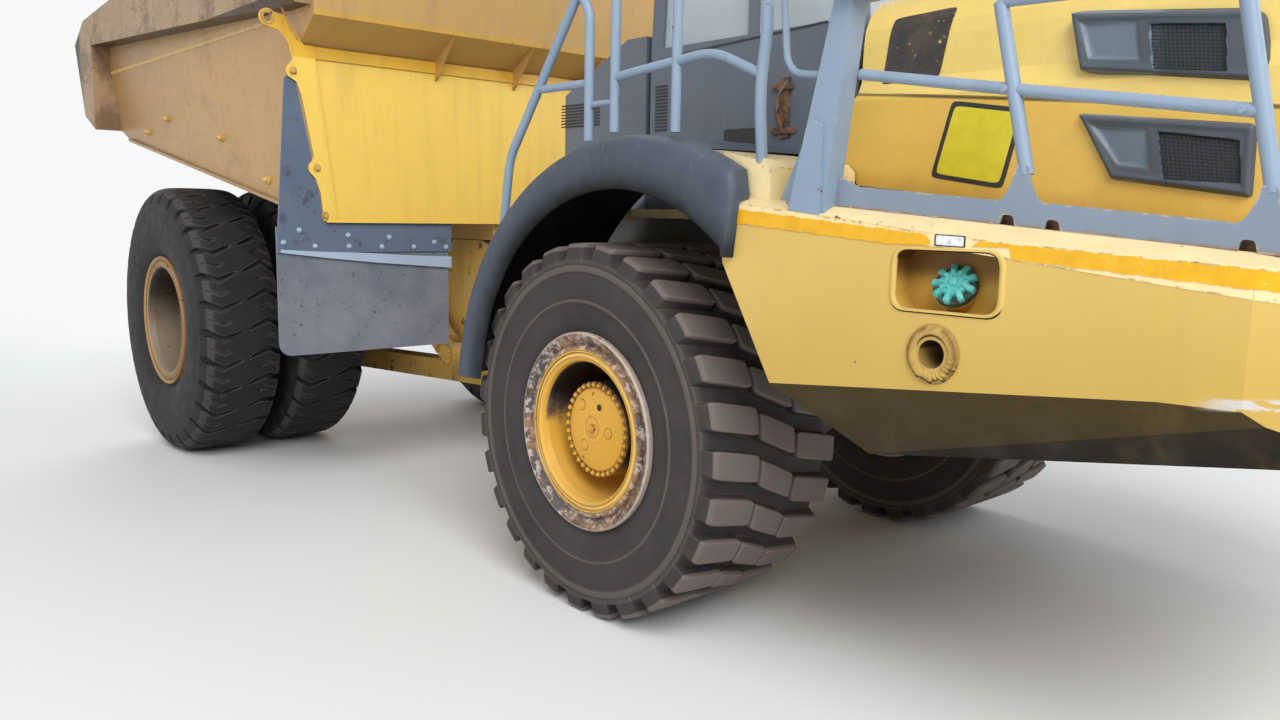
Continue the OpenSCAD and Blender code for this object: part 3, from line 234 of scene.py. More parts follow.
def use(tree, group, inputs):
    """Puts an effect into a material and returns its outputs."""
    made = node(tree, "Group", node_tree=group)
    for key, value in inputs.items():
        if isinstance(value, bpy.types.NodeSocket):
            tree.links.new(value, made.inputs[key])
        else:
            made.inputs[key].default_value = (*value, 1) if isinstance(value, tuple) else value
    return made.outputs


# Dust that has settled on upward faces, broken up by patches, with a thin film everywhere
settled_dust, given, result = effect(
    "settled dust", [("Amount", "Float", 0.5), ("Patches per metre", "Float", 6.0)], [("Mask", "Float")])
own = node(settled_dust, "TexCoord").outputs
up = node(settled_dust, "SeparateXYZ", {0: own["Normal"]}).outputs["Z"]
lying = between(settled_dust, up, 0.25, 0.95)
patches = cloud(settled_dust, own, given["Patches per metre"], 6.0, 0.65)
film = between(settled_dust, patches, 0.42, 0.75, 0.0, 0.35)
lying = times(settled_dust, lying, between(settled_dust, patches, 0.3, 0.6, 0.35, 1.0))
total = maths(settled_dust, "MAXIMUM", lying, film)
settled_dust.links.new(times(settled_dust, total, given["Amount"], clamp=True), result.inputs["Mask"])

# Edges that rubbing has worn: where a rounded copy of the surface would face another way
worn_edges, given, result = effect(
    "worn edges", [("Amount", "Float", 0.5), ("Width", "Float", 0.01), ("Patches per metre", "Float", 14.0)],
    [("Mask", "Float")])
own = node(worn_edges, "TexCoord").outputs
rounded = node(worn_edges, "Bevel", {"Radius": given["Width"]}, samples=4).outputs[0]
facing = node(worn_edges, "NewGeometry").outputs["Normal"]
same = node(worn_edges, "VectorMath", {0: rounded, 1: facing}, operation="DOT_PRODUCT").outputs["Value"]
turned_away = maths(worn_edges, "SUBTRACT", 1.0, same)
broken = cloud(worn_edges, own, given["Patches per metre"], 6.0, 0.7)
limit = times_plus(worn_edges, given["Amount"], -0.35, 0.75)
here = between(worn_edges, broken, limit, maths(worn_edges, "ADD", limit, 0.08))
worn_edges.links.new(
    times(worn_edges, between(worn_edges, turned_away, 0.012, 0.06), here, clamp=True),
    result.inputs["Mask"])


def radius_from(tree, own, x, z):
    """Distance from a level axle that runs from the truck's right to its left."""
    local = stretched(tree, own["Object"], (1, 0, 1), (-front_axle_x - x, 0, -z))
    return node(tree, "VectorMath", {0: local}, operation="LENGTH").outputs["Value"], local


def tyre_rubber(name, tint, mud, edge, x, z, rings, deep_r, top_r, muddy):
    """Moulded rubber: darker low down in the tread, with lighter rubbed edges, mud in patches, and rings on
    the side wall, each (inner radius, outer radius, share of the mud's colour)."""
    made, tree, shader, own = finish_of(name)
    radius, _ = radius_from(tree, own, x, z)
    patch = cloud(tree, own, 2.3, 5.0, 0.6)
    fine = cloud(tree, own, 11.0, 8.0, 0.7)
    swept = cloud(tree, stretched(tree, own["Object"], (1, 0.15, 1)), 26.0, 5.0, 0.65)
    colour = blend(tree, between(tree, patch, 0.3, 0.7), tint, tuple(1.45 * c + 0.004 for c in tint))
    soil = times(tree, between(tree, fine, 0.36, 0.72), muddy)
    soil = times_plus(tree, between(tree, swept, 0.5, 0.8), 0.22 * muddy, soil)
    for inner, outer, amount in rings:
        band = times(tree, between(tree, radius, inner - 0.004, inner + 0.004),
                     between(tree, radius, outer + 0.004, outer - 0.004))
        soil = times_plus(tree, band, amount, soil, clamp=True)
    colour = blend(tree, soil, colour, mud)
    rubbed = use(tree, worn_edges, {"Amount": 1.0, "Width": 0.009, "Patches per metre": 6.0})["Mask"]
    on_top = between(tree, radius, deep_r, top_r)
    colour = blend(tree, times(tree, rubbed, times_plus(tree, on_top, 0.7, 0.1)), colour, edge)
    show(tree, shader, colour, fine, 0.3, 0.7, 0.55, 0.80)
    shader["Specular IOR Level"].default_value = 0.3
    grain = cloud(tree, own, 160.0, 5.0, 0.6)
    height = times_plus(tree, patch, 1.4, times_plus(tree, fine, 0.8, grain))
    bumped(tree, shader, height, 0.4, 0.002)
    return made


def quads_of(points, round_rows, round_columns):
    """Corner numbers of the quads between neighbouring points of grids (..., rows, columns, 3).
    A round direction joins its last points to its first."""
    *copies, rows, columns, _ = points.shape
    i, j = np.meshgrid(np.arange(rows - (not round_rows)), np.arange(columns - (not round_columns)),
                       indexing="ij")
    k, m = (i + 1) % rows, (j + 1) % columns
    one = np.stack([i * columns + j, k * columns + j, k * columns + m, i * columns + m], -1).reshape(1, -1, 4)
    return (one + (np.arange(int(np.prod(copies))) * rows * columns)[:, None, None]).reshape(-1, 4)


def put_on(name, sheets, material, body, crease=35):
    """Makes one piece of several grids of points measured from the front axle, closes its seams and poles,
    turns its faces outward and lets it ride on a body. A sheet is (points, round rows, round columns)."""
    quads, points, count = [], [], 0
    for grid, round_rows, round_columns in sheets:
        quads.append(quads_of(grid, round_rows, round_columns) + count)
        points.append(grid.reshape(-1, 3))
        count += len(points[-1])
    points, quads = np.concatenate(points) + (front_axle_x, 0, 0), np.concatenate(quads)
    mesh = bpy.data.meshes.new(name)
    mesh.vertices.add(count)
    mesh.vertices.foreach_set("co", points.ravel())
    mesh.loops.add(quads.size)
    mesh.loops.foreach_set("vertex_index", quads.ravel())
    mesh.polygons.add(len(quads))
    mesh.polygons.foreach_set("loop_start", np.arange(0, quads.size, 4))
    mesh.update(calc_edges=True)
    work = bmesh.new()
    work.from_mesh(mesh)
    bmesh.ops.remove_doubles(work, verts=work.verts, dist=2e-5)
    bmesh.ops.dissolve_degenerate(work, edges=work.edges, dist=1e-6)
    bmesh.ops.recalc_face_normals(work, faces=work.faces)
    work.to_mesh(mesh)
    work.free()
    mesh.shade_smooth()
    mesh.set_sharp_from_angle(angle=math.radians(crease))
    mesh.materials.append(material)
    made = bpy.data.objects.new(name, mesh)
    bpy.context.scene.collection.objects.link(made)
    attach(made, body)
    return made


def dress(material, *names):
    """Gives CAD nodes their finish."""
    for name in names:
        cad[name].data.materials.clear()
        cad[name].data.materials.append(material)


def on_wheel(radius, turn, outward, centre):
    """Points at a radius and an angle round an axle, a distance out from the wheel's middle."""
    x, y, z = centre
    radius, turn, outward = np.broadcast_arrays(radius, turn, outward)
    return np.stack([x + radius * np.cos(turn), y + np.sign(y) * outward, z + radius * np.sin(turn)], -1)


def lathe(profile, centre, turns=96):
    """A profile of (radius, distance outward) turned round an axle."""
    p = np.array(profile, float)
    turn = np.linspace(0, 2 * np.pi, turns, endpoint=False)
    return on_wheel(p[:, None, 0], turn[None], p[:, None, 1], centre)


def front_tyre(side):
    """The casing is a turned profile. A block is a squared oval outline, (cos a, sin a) each raised to a
    small power, carried up through levels and closed at its middle; a shoulder block's outer side follows its
    own line."""
    centre = (front_middle[0], side * front_middle[1], front_middle[2])
    half = [(0.3685, 0.3825), (0.49, 0.3825), (0.502, 0.3835), (0.510, 0.386), (0.52, 0.3905), (0.535, 0.400),
            (0.56, 0.4115), (0.60, 0.4205), (0.645, 0.4245), (0.650, 0.4285), (0.658, 0.4285),
            (0.663, 0.4245), (0.70, 0.4255), (0.76, 0.4225), (0.790, 0.4195), (0.797, 0.4245),
            (0.802, 0.4265), (0.826, 0.4255), (0.830, 0.4225), (0.836, 0.4225), (0.840, 0.4235),
            (0.856, 0.4205), (0.862, 0.413), (0.868, 0.392), (0.872, 0.36), (0.876, 0.28), (0.878, 0.15),
            (0.878, 0.0)]
    casing = np.array(half + [(r, -out) for r, out in half[-2::-1]])
    sheets = [(lathe(casing, centre, 180), True, True)]
    count, a = 27, np.linspace(0, 2 * np.pi, 28, endpoint=False)
    across = np.sign(np.cos(a)) * np.abs(np.cos(a)) ** 0.22
    along = np.sign(np.sin(a)) * np.abs(np.sin(a)) ** 0.22
    # For each row: its edges, and how far round the tread each edge's middle lies
    rows = [(0.130, 0.405, 0.045, -0.012), (-0.112, 0.114, 0.166, 0.067), (-0.405, -0.130, 0.244, 0.187)]
    # For each level: the radius, inset and length added at the foot, then the shoulder's radius and place
    levels = [(0.850, -0.006, 0.010, 0.812, 0.416), (0.872, -0.004, 0.006, 0.846, 0.4275),
              (0.884, -0.001, 0.002, 0.872, 0.4285), (0.926, 0.001, 0.0, 0.920, 0.4105),
              (0.9345, 0.0025, 0.0, 0.930, 0.4065), (0.9375, 0.006, 0.0, 0.9345, 0.402),
              (0.9385, 0.012, 0.0, 0.9365, 0.394), (0.9365, 0.050, 0.0, 0.9365, 0.34),
              (0.936, 9.0, 0.0, 0.936, 0.0)]
    for start, end, at_start, at_end in rows:
        grids = []
        for radius, inset, foot, shoulder_r, shoulder_u in levels:
            middle, reach = (start + end) / 2, (end - start) / 2
            if inset > 1:
                u, v, r = np.full_like(a, middle), 0 * a, np.full_like(a, radius)
            else:
                u, v = middle + (reach - inset) * across, (0.066 - inset + foot) * along
                r = np.full_like(a, radius)
                for face in (1, -1):
                    if abs(end if face > 0 else start) > 0.4:
                        share = np.clip((face * across - 0.80) / 0.18, 0, 1)
                        u = u + share * (face * shoulder_u - u)
                        r = r + share * (shoulder_r - r)
            grids.append((u, v + at_start + (at_end - at_start) * (u - start) / (end - start), r))
        u, v, r = (np.array(g) for g in zip(*grids))
        turn = 2 * np.pi / count * np.arange(count)[:, None, None] - v / front_r
        sheets.append((on_wheel(r, turn, u, centre), False, True))
    return sheets


front_rubber = tyre_rubber(
    "front tyre rubber", (0.026, 0.023, 0.023), (0.150, 0.123, 0.113), (0.40, 0.32, 0.27), 0.0, front_r,
    [(0.648, 0.660, 0.55), (0.797, 0.829, 0.55), (0.838, 0.858, 0.25), (0.915, 0.96, 1.0)], 0.875, 0.93, 0.17)
for side, hand in both_sides:
    piece = put_on("front_tyre_casing_" + hand, front_tyre(side), front_rubber, "front_wheel_" + hand,
                   40)
    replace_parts(piece, "front_tyre_" + hand)

# The rear tyres: twins on each side, darker and smoother, with thirty bent grooves on each side of a solid
# band.
rear_axle_x = -4.91
rear_r = 1.085
rear_y = 1.57
twin_half = 0.36


def smooth_line(points, count):
    """A Catmull-Rom curve through the points, resampled at even steps of its length."""
    p = np.array(points, float)
    p = np.concatenate([[2 * p[0] - p[1]], p, [2 * p[-1] - p[-2]]])
    t = np.linspace(0, 1, 12, endpoint=False)[:, None]
    a, b, c, d = p[:-3, None], p[1:-2, None], p[2:-1, None], p[3:, None]
    fine = 0.5 * (2 * b + (c - a) * t + (2 * a - 5 * b + 4 * c - d) * t**2 + (3 * b - a - 3 * c + d) * t**3)
    fine = np.concatenate([fine.reshape(-1, p.shape[1]), p[-2:-1]])
    run = np.concatenate([[0], np.cumsum(np.linalg.norm(np.diff(fine, axis=0), axis=1))])
    at = np.linspace(0, run[-1], count)
    return np.stack([np.interp(at, run, fine[:, i]) for i in range(p.shape[1])], -1)


def rear_tyre(side, out):
    """One grid: along its rows the profile from bead to bead, and round its columns the pitches. A column
    lies at (pitch + bend(u) + step) of a turn, with its steps drawn together at the groove, which is sunk
    along the normal."""
    centre = (rear_axle_x, side * (rear_y + out * twin_half), rear_r)
    half = [(0.4446, 0.2575), (0.52, 0.258), (0.540, 0.2615), (0.549, 0.272), (0.58, 0.286), (0.64, 0.302),
            (0.73, 0.3140), (0.8155, 0.3176), (0.90, 0.3140), (0.955, 0.308), (0.99, 0.298), (1.025, 0.285),
            (1.052, 0.264), (1.070, 0.236), (1.079, 0.20), (1.084, 0.12), (rear_r, 0.0)]
    p = smooth_line(half + [(r, -out_) for r, out_ in half[-2::-1]], 130)
    u, r = p[:, 1], p[:, 0]
    slope = np.gradient(p, axis=0)
    normal = np.stack([slope[:, 1], -slope[:, 0]], -1)
    normal /= np.linalg.norm(normal, axis=1)[:, None]
    normal *= np.sign(normal[len(p) // 2, 0])
    reach = np.where(r < 1.05, 0.285 + (1.05 - r) * 1.2, np.abs(u))
    bend = np.interp(reach, [0.04, 0.10, 0.17, 0.235, 0.285], [0.0, 1.3, 3.1, 1.5, 0.3])
    lean = np.radians(np.where(u > 0, -bend, bend + 1.4 * np.clip(-u / 0.05, 0, 1)))
    half_width = np.radians(np.interp(reach, [0.04, 0.17, 0.30], [0.55, 1.2, 1.55]))
    depth = 0.050 * np.interp(reach, [0.030, 0.055, 0.33, 0.37, 0.40], [0, 1, 1, 0.55, 0])
    small = 0.014 * np.interp(reach, [0.11, 0.14, 0.27, 0.30], [0, 1, 1, 0])
    count = 30
    pitch = 2 * np.pi / count
    # Columns of half a pitch, as multiples of the groove's half width, then as shares of the rest
    in_groove = np.array([0.0, 0.5, 0.86, 1.04, 1.16])
    in_rest = np.array([0.25, 0.6, 0.86, 0.91, 0.95])
    near = half_width[:, None] * in_groove
    rest = near[:, -1:] + (pitch / 2 - near[:, -1:]) * in_rest
    step = np.concatenate([near, rest], 1)
    sunk = np.concatenate([depth[:, None] * np.array([1, 0.97, 0.88, 0.10, 0.0]),
                           small[:, None] * np.array([0, 0, 0.0, 0.9, 1.0])], 1)
    step = np.concatenate([-step[:, :0:-1], step], 1)
    sunk = np.concatenate([sunk[:, :0:-1], sunk], 1)
    turn = (np.arange(count) * pitch)[None, :, None] + lean[:, None, None] + step[:, None, :]
    sunk = np.broadcast_to(sunk[:, None, :], turn.shape)
    place = p[:, None, None, :] - normal[:, None, None, :] * sunk[..., None]
    turn, place = turn.reshape(len(p), -1), place.reshape(len(p), -1, 2)
    return [(on_wheel(place[..., 0], turn, place[..., 1], centre), True, True)]


rear_rubber = tyre_rubber(
    "rear tyre rubber", (0.010, 0.0098, 0.012), (0.055, 0.050, 0.050), (0.17, 0.15, 0.14), rear_axle_x,
    rear_r, [(0.70, 0.712, 0.2), (0.93, 0.945, 0.15), (1.03, 1.068, 0.9)], 1.02, 1.07, 0.22)
for side, hand in both_sides:
    for out, place in ((1, "outer"), (-1, "inner")):
        piece = put_on(
            "rear_tyre_" + place + "_" + hand, rear_tyre(side, out), rear_rubber, "rear_wheels_" + hand,
            38)
        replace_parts(piece, "rear_tyres_" + hand)

# The rims: heavy rolled steel in bright yellow, whose outer flange has rusted and chipped, with a bolted hub.
# The rear twins sit on very deep rims in a faded tan.
# Chips through the paint, with rust that goes from dark brown to orange
rust_chips, given, result = effect(
    "rust chips", [("Amount", "Float", 0.3), ("Chips per metre", "Float", 9.0)],
    [("Mask", "Float"), ("Colour", "Color")])
own = node(rust_chips, "TexCoord").outputs
fine = cloud(rust_chips, own, given["Chips per metre"], 9.0, 0.72)
wide = cloud(rust_chips, own, 1.1, 3.0, 0.5)
level_of = times_plus(rust_chips, given["Amount"], -0.22, 0.80)
level_of = times_plus(rust_chips, wide, -0.16, level_of)
rust_chips.links.new(
    between(rust_chips, fine, level_of, maths(rust_chips, "ADD", level_of, 0.03)), result.inputs["Mask"])
shade = cloud(rust_chips, own, 38.0, 5.0, 0.7)
rust_chips.links.new(
    blend(rust_chips, between(rust_chips, shade, 0.35, 0.65), (0.045, 0.018, 0.008), (0.23, 0.085, 0.025)),
    result.inputs["Colour"])

# Dirt that rain has drawn down upright faces
rain_streaks, given, result = effect(
    "rain streaks", [("Amount", "Float", 0.4), ("Streaks per metre", "Float", 7.0)], [("Mask", "Float")])
own = node(rain_streaks, "TexCoord").outputs
drawn = node(rain_streaks, "VectorMath", {0: own["Object"], 1: (1.0, 1.0, 0.07)},
             operation="MULTIPLY").outputs[0]
lines = cloud(rain_streaks, drawn, given["Streaks per metre"], 5.0, 0.62)
spread = cloud(rain_streaks, own, 1.3, 2.0, 0.5)
drawn_mask = times(rain_streaks, between(rain_streaks, lines, 0.48, 0.72),
                   between(rain_streaks, spread, 0.35, 0.65))
rain_streaks.links.new(times(rain_streaks, drawn_mask, given["Amount"], clamp=True), result.inputs["Mask"])


def paint(name, tint, dusty=0.3, streaky=0.3, chipped=0.2, worn=0.35, edge=(0.20, 0.13, 0.07), gloss=0.38,
          dust=(0.36, 0.30, 0.22), fade=0.03, more=None):
    """Painted metal: faded in patches, streaked by rain, chipped to rust, rubbed at its edges and dusty on
    top. More is a function that changes the paint's colour before the wear, for what only this piece has."""
    made, tree, shader, own = finish_of(name)
    patch = cloud(tree, own, 0.9, 4.0, 0.55)
    faded = tuple(c + (1 - c) * fade for c in tint)
    colour = blend(tree, between(tree, patch, 0.3, 0.7), tuple(c * 0.92 for c in tint), faded)
    if more:
        colour = more(tree, own, colour)
    streak = use(tree, rain_streaks, {"Amount": streaky})["Mask"]
    colour = blend(tree, streak, colour, tuple(c * 0.45 for c in tint))
    rust = use(tree, rust_chips, {"Amount": chipped})
    colour = blend(tree, rust["Mask"], colour, rust["Colour"])
    rubbed = use(tree, worn_edges, {"Amount": worn, "Width": 0.012})["Mask"]
    colour = blend(tree, rubbed, colour, edge)
    lying = use(tree, settled_dust, {"Amount": dusty})["Mask"]
    colour = blend(tree, lying, colour, dust)
    tree.links.new(colour, shader["Base Color"])
    mottle = cloud(tree, own, 24.0, 5.0, 0.6)
    rough = between(tree, mottle, 0.3, 0.7, gloss - 0.06, gloss + 0.10)
    rough = maths(tree, "MAXIMUM", rough, times(tree, rust["Mask"], 0.85))
    rough = times_plus(tree, lying, 0.35, rough, clamp=True)
    tree.links.new(rough, shader["Roughness"])
    peel = cloud(tree, own, 75.0, 3.0, 0.5)
    dent = cloud(tree, own, 1.7, 2.0, 0.5)
    height = times_plus(tree, dent, 2.2, times_plus(tree, rust["Mask"], -0.5, peel))
    bumped(tree, shader, height, 0.22, 0.0022)
    return made


def disc(centres, lift, radius, count=12, start=0.0):
    """Corners of a regular outline round each centre, square to lift."""
    lift = np.asarray(lift, float)
    ahead = np.cross(lift, (0.31, 0.55, 0.77))
    ahead /= np.linalg.norm(ahead, axis=-1, keepdims=True)
    beside = np.cross(lift, ahead)
    a = (start + np.linspace(0, 2 * np.pi, count, endpoint=False))[:, None]
    return (np.asarray(centres, float)[..., None, :]
            + radius * (np.cos(a) * ahead[..., None, :] + np.sin(a) * beside[..., None, :]))


def grained(name, grain, spread, first, second, rough, bump=None, **constants):
    """A plain finish: one cloud (scale, detail, roughness) blends two colours over a spread, or all the way
    where spread is None. It also sets how rough the surface is, unless that is one number, and may raise a
    fine grain."""
    made, tree, shader, own = finish_of(name)
    patch = cloud(tree, own, *grain)
    share = between(tree, patch, *spread) if spread else patch
    tree.links.new(blend(tree, share, first, second), shader["Base Color"])
    if isinstance(rough, tuple):
        tree.links.new(between(tree, patch, *rough), shader["Roughness"])
    else:
        shader["Roughness"].default_value = rough
    for key, value in constants.items():
        shader[key].default_value = value
    if bump:
        bumped(tree, shader, patch, *bump)
    return made


def slab(low, high):
    """The levels of a plate with square edges, for boss."""
    return [(0, low), (1, low), (1, high), (0, high)]


def boss(outline, lift, levels):
    """An outline (..., corners, 3) raised through levels, each (its size about its middle, its height along
    lift). A level of size 0 closes it."""
    size, height = np.array(levels, float).T[:, :, None, None]
    middle = outline.mean(-2, keepdims=True)[..., None, :, :]
    lift = np.asarray(lift, float)[..., None, None, :]
    return middle + (outline[..., None, :, :] - middle) * size + lift * height, False, True


def bolts(centres, lift, size):
    """Hexagon heads on round washers."""
    return [boss(disc(centres, lift, size, 14), lift, slab(-0.2 * size, 0.22 * size)),
            boss(disc(centres, lift, 0.66 * size, 6), lift,
                 [(0, 0.1 * size), (1, 0.1 * size), (1, 0.72 * size), (0.85, 0.88 * size), (0, 0.9 * size)])]


def carried(sections):
    """A closed cross section (rows, corners, 3) whose two ends are closed at their middles."""
    ends = [sections[i:i + 1].mean(1, keepdims=True).repeat(sections.shape[1], 1)
            for i in (0, len(sections) - 1)]
    return np.concatenate([ends[0], sections, ends[1]]), False, True


def truck_place(tree, own):
    """Where a point lies: forward of the front axle, to the left, and up."""
    at = node(tree, "SeparateXYZ", {0: own["Object"]}).outputs
    return maths(tree, "SUBTRACT", at["X"], front_axle_x), at["Y"], at["Z"]


def ring_line(tree, radius, at, half):
    """1 within half of the radius at, fading out over the same again."""
    return times(tree, between(tree, radius, at - 2 * half, at - half),
                 between(tree, radius, at + 2 * half, at + half))


def front_rim_shades(tree, own, colour):
    """Rust, soot and pale scars on the outer flange, yellow lock rings with dark joints and a painted
    highlight on one step, and a barrel that is black above with brake soot and painted shade, and yellow
    below."""
    radius, _ = radius_from(tree, own, 0.0, front_r)
    x, y, z = truck_place(tree, own)
    mix = cloud(tree, own, 13.0, 8.0, 0.72)
    scar = cloud(tree, own, 24.0, 7.0, 0.72)
    wide = cloud(tree, own, 3.2, 3.0, 0.5)
    rust = blend(tree, between(tree, mix, 0.38, 0.60), (0.060, 0.030, 0.020), (0.30, 0.165, 0.085))
    rust = blend(tree, between(tree, wide, 0.40, 0.56), (0.062, 0.056, 0.058), rust)
    rust = blend(tree, between(tree, scar, 0.50, 0.60), rust, (0.50, 0.40, 0.34))
    rust = blend(tree, between(tree, radius, 0.487, 0.493, 0.0, 0.8), rust, (0.52, 0.43, 0.37))
    ragged = times_plus(tree, mix, 0.06, radius)
    colour = blend(tree, between(tree, ragged, 0.432, 0.450), colour, rust)
    # Painted shade and brake soot: the barrel goes grey, then black, higher up and further forward.
    inner = times(tree, between(tree, radius, 0.360, 0.354),
                  between(tree, maths(tree, "ABSOLUTE", y), 1.668, 1.655))
    sooty = times_plus(tree, mix, 0.30, times_plus(tree, x, 0.45, z))
    grey = blend(tree, between(tree, sooty, 0.98, 1.12), (0.105, 0.075, 0.062), (0.010, 0.007, 0.006))
    colour = blend(tree, times(tree, inner, between(tree, sooty, 0.90, 1.02)), colour, grey)
    for joint in (0.409, 0.397, 0.374):
        colour = blend(tree, times(tree, ring_line(tree, radius, joint, 0.0018), 0.7), colour,
                       (0.11, 0.055, 0.018))
    # Painted highlight: a bright line along the lock ring's step at 0.386.
    return blend(tree, times(tree, ring_line(tree, radius, 0.386, 0.003), 0.6), colour, (0.92, 0.66, 0.22))


def rear_rim_shades(tree, own, colour):
    """Tan rings with a brown joint, orange rust on the flange, and a grey-brown dish with painted shade that
    darkens it upward.
    """
    radius, local = radius_from(tree, own, rear_axle_x, rear_r)
    height = node(tree, "SeparateXYZ", {0: local}).outputs["Z"]
    mix = cloud(tree, own, 10.0, 8.0, 0.72)
    ragged = times_plus(tree, mix, 0.04, radius)
    colour = blend(tree, between(tree, ragged, 0.525, 0.545, 0.0, 0.6), colour, (0.24, 0.105, 0.035))
    for joint in (0.498, 0.468):
        colour = blend(tree, times(tree, ring_line(tree, radius, joint, 0.005), 0.75), colour,
                       (0.17, 0.075, 0.020))
    # Painted shade: the dish darkens towards its top.
    dish = blend(tree, between(tree, times_plus(tree, mix, 0.2, height), 0.40, -0.10), (0.020, 0.012, 0.008),
                 (0.255, 0.195, 0.130))
    return blend(tree, between(tree, radius, 0.452, 0.438), colour, dish)


def hub_shades(tree, own, colour):
    """Dark brown between the bolt heads, and a dark line round each plug and round the middle boss."""
    radius, _ = radius_from(tree, own, 0.0, front_r)
    _, y, _ = truck_place(tree, own)
    mix = cloud(tree, own, 40.0, 6.0, 0.7)
    low = between(tree, maths(tree, "ABSOLUTE", y), 1.608, 1.603)
    dark = blend(tree, mix, (0.05, 0.022, 0.010), (0.30, 0.13, 0.03))
    colour = blend(tree, times(tree, low, between(tree, radius, 0.211, 0.214)), colour, dark)
    for forward, up, ring in ((-0.10, 0.115, 0.028), (0.11, 0.0, 0.028), (-0.075, -0.09, 0.028),
                              (-0.012, 0.012, 0.052), (-0.010, 0.003, 0.024)):
        away, _ = radius_from(tree, own, forward, front_r + up)
        line = times(tree, ring_line(tree, away, ring, 0.0016), between(tree, mix, 0.35, 0.5, 0.35, 0.9))
        colour = blend(tree, line, colour, (0.26, 0.115, 0.018))
    return colour


rim_paint = paint("bright rim paint", (0.74, 0.40, 0.030), dusty=0.15, streaky=0.1, chipped=0.40, worn=0.5,
                  edge=(0.40, 0.26, 0.14), gloss=0.42, more=front_rim_shades)
tan_rim = paint("tan rim paint", (0.46, 0.27, 0.085), dusty=0.10, streaky=0.2, chipped=0.5, worn=0.5,
                gloss=0.48, more=rear_rim_shades)
hub_paint = paint("hub paint", (0.74, 0.38, 0.020), dusty=0.12, streaky=0.0, chipped=0.35, worn=0.6,
                  edge=(0.22, 0.10, 0.03), gloss=0.45, more=hub_shades)
dirty_hole = grained("dirty hole", (45.0, 6.0, 0.7), (0.4, 0.65), (0.010, 0.007, 0.005), (0.09, 0.04, 0.018),
                     0.85, (0.6, 0.003))
dress(rim_paint, "front_rim_right", "front_rim_left")
dress(tan_rim, "rear_rims_right", "rear_rims_left")
for side, hand in both_sides:
    body = "front_wheel_" + hand
    centre = (0.0, side * front_middle[1], front_r)
    lift = (0.0, side, 0.0)
    turn = np.linspace(0, 2 * np.pi, 34, endpoint=False)
    face = [(0.0, 0.3335), (0.03, 0.3335), (0.068, 0.333), (0.070, 0.3305), (0.074, 0.3305), (0.077, 0.3325),
            (0.15, 0.3290), (0.196, 0.3225), (0.207, 0.3185), (0.211, 0.3115), (0.222, 0.3105),
            (0.241, 0.3095), (0.242, 0.30), (0.0, 0.30)]
    heads = bolts(on_wheel(0.2285, turn, 0.311, centre), lift, 0.0165)
    # Plugs and a small cross in the middle boss, at (forward, up) from the hub's middle
    plugs = np.array([(-0.10, 0.115), (0.11, 0.0), (-0.075, -0.09)])
    at = np.stack([plugs[:, 0], np.full(3, side * 1.6185), front_r + plugs[:, 1]], -1)
    rings = boss(disc(at, lift, 0.027, 20), lift,
                 [(0, -0.01), (1, -0.01), (1, 0.002), (0.86, 0.005), (0.74, 0.005),
                                                  (0.66, 0.001), (0.6, 0.004), (0, 0.005)])
    cross = []
    for tilt in (0.5, 2.07):
        a = np.array([(-0.034, -0.005), (0.034, -0.005), (0.034, 0.005), (-0.034, 0.005)])
        a = a @ np.array([[np.cos(tilt), np.sin(tilt)], [-np.sin(tilt), np.cos(tilt)]])
        bar = np.stack([a[:, 0] - 0.01, np.full(4, side * 1.6225), 0.945 + a[:, 1]], -1)
        cross.append(boss(bar, lift, [(0, -0.003), (1, -0.003), (1, 0.005), (0.8, 0.007), (0, 0.007)]))
    middle = boss(disc([(-0.01, side * 1.6235, 0.945)], lift, 0.018, 16), lift,
                  [(0, -0.003), (1, -0.003), (1, 0.008), (0.7, 0.011), (0.0, 0.011)])
    put_on("hub_cap_" + hand, [(lathe(face, centre, 72), False, True), rings, middle] + heads + cross,
           hub_paint, body, 30)
    hole = boss(disc([(0.04, side * 1.614, 1.06)], lift, 0.017, 16), lift,
                [(0, -0.002), (1, -0.002), (1, 0.0085), (0, 0.0075)])
    put_on("hub_hole_" + hand, [hole], dirty_hole, body)
    # The key that locks the rings, rusted and burred, low on the front side of the flange
    key_turn = np.radians(-62.0) + np.linspace(-0.07, 0.07, 9)[:, None]
    rim = np.array([(0.395, 0.398), (0.398, 0.414), (0.428, 0.416), (0.437, 0.400)])
    burr = 0.004 * np.sin(37 * np.arange(9)[:, None] + 5 * np.arange(4)[None])
    key = on_wheel(rim[None, :, 0] + burr, key_turn, rim[None, :, 1] + 0.5 * burr, centre)
    put_on("rim_key_" + hand, [carried(key)], rim_paint, body, 25)
    # Rear: planet hub with its ring of bolts, deep in the rim
    rear_centre = (rear_axle_x, side * rear_y, rear_r)
    rear_face = [(0.0, 0.455), (0.10, 0.453), (0.13, 0.445), (0.15, 0.432), (0.24, 0.428), (0.27, 0.426),
                 (0.302, 0.421), (0.302, 0.40), (0.0, 0.40)]
    heads = bolts(on_wheel(0.262, np.linspace(0, 2 * np.pi, 26, endpoint=False), 0.426, rear_centre), lift,
                  0.019)
    nuts = bolts(on_wheel(0.352, np.linspace(0, 2 * np.pi, 20, endpoint=False), 0.376, rear_centre), lift,
                 0.021)
    put_on("rear_hub_" + hand, [(lathe(rear_face, rear_centre, 72), False, True)] + heads + nuts, tan_rim,
           "rear_wheels_" + hand, 30)

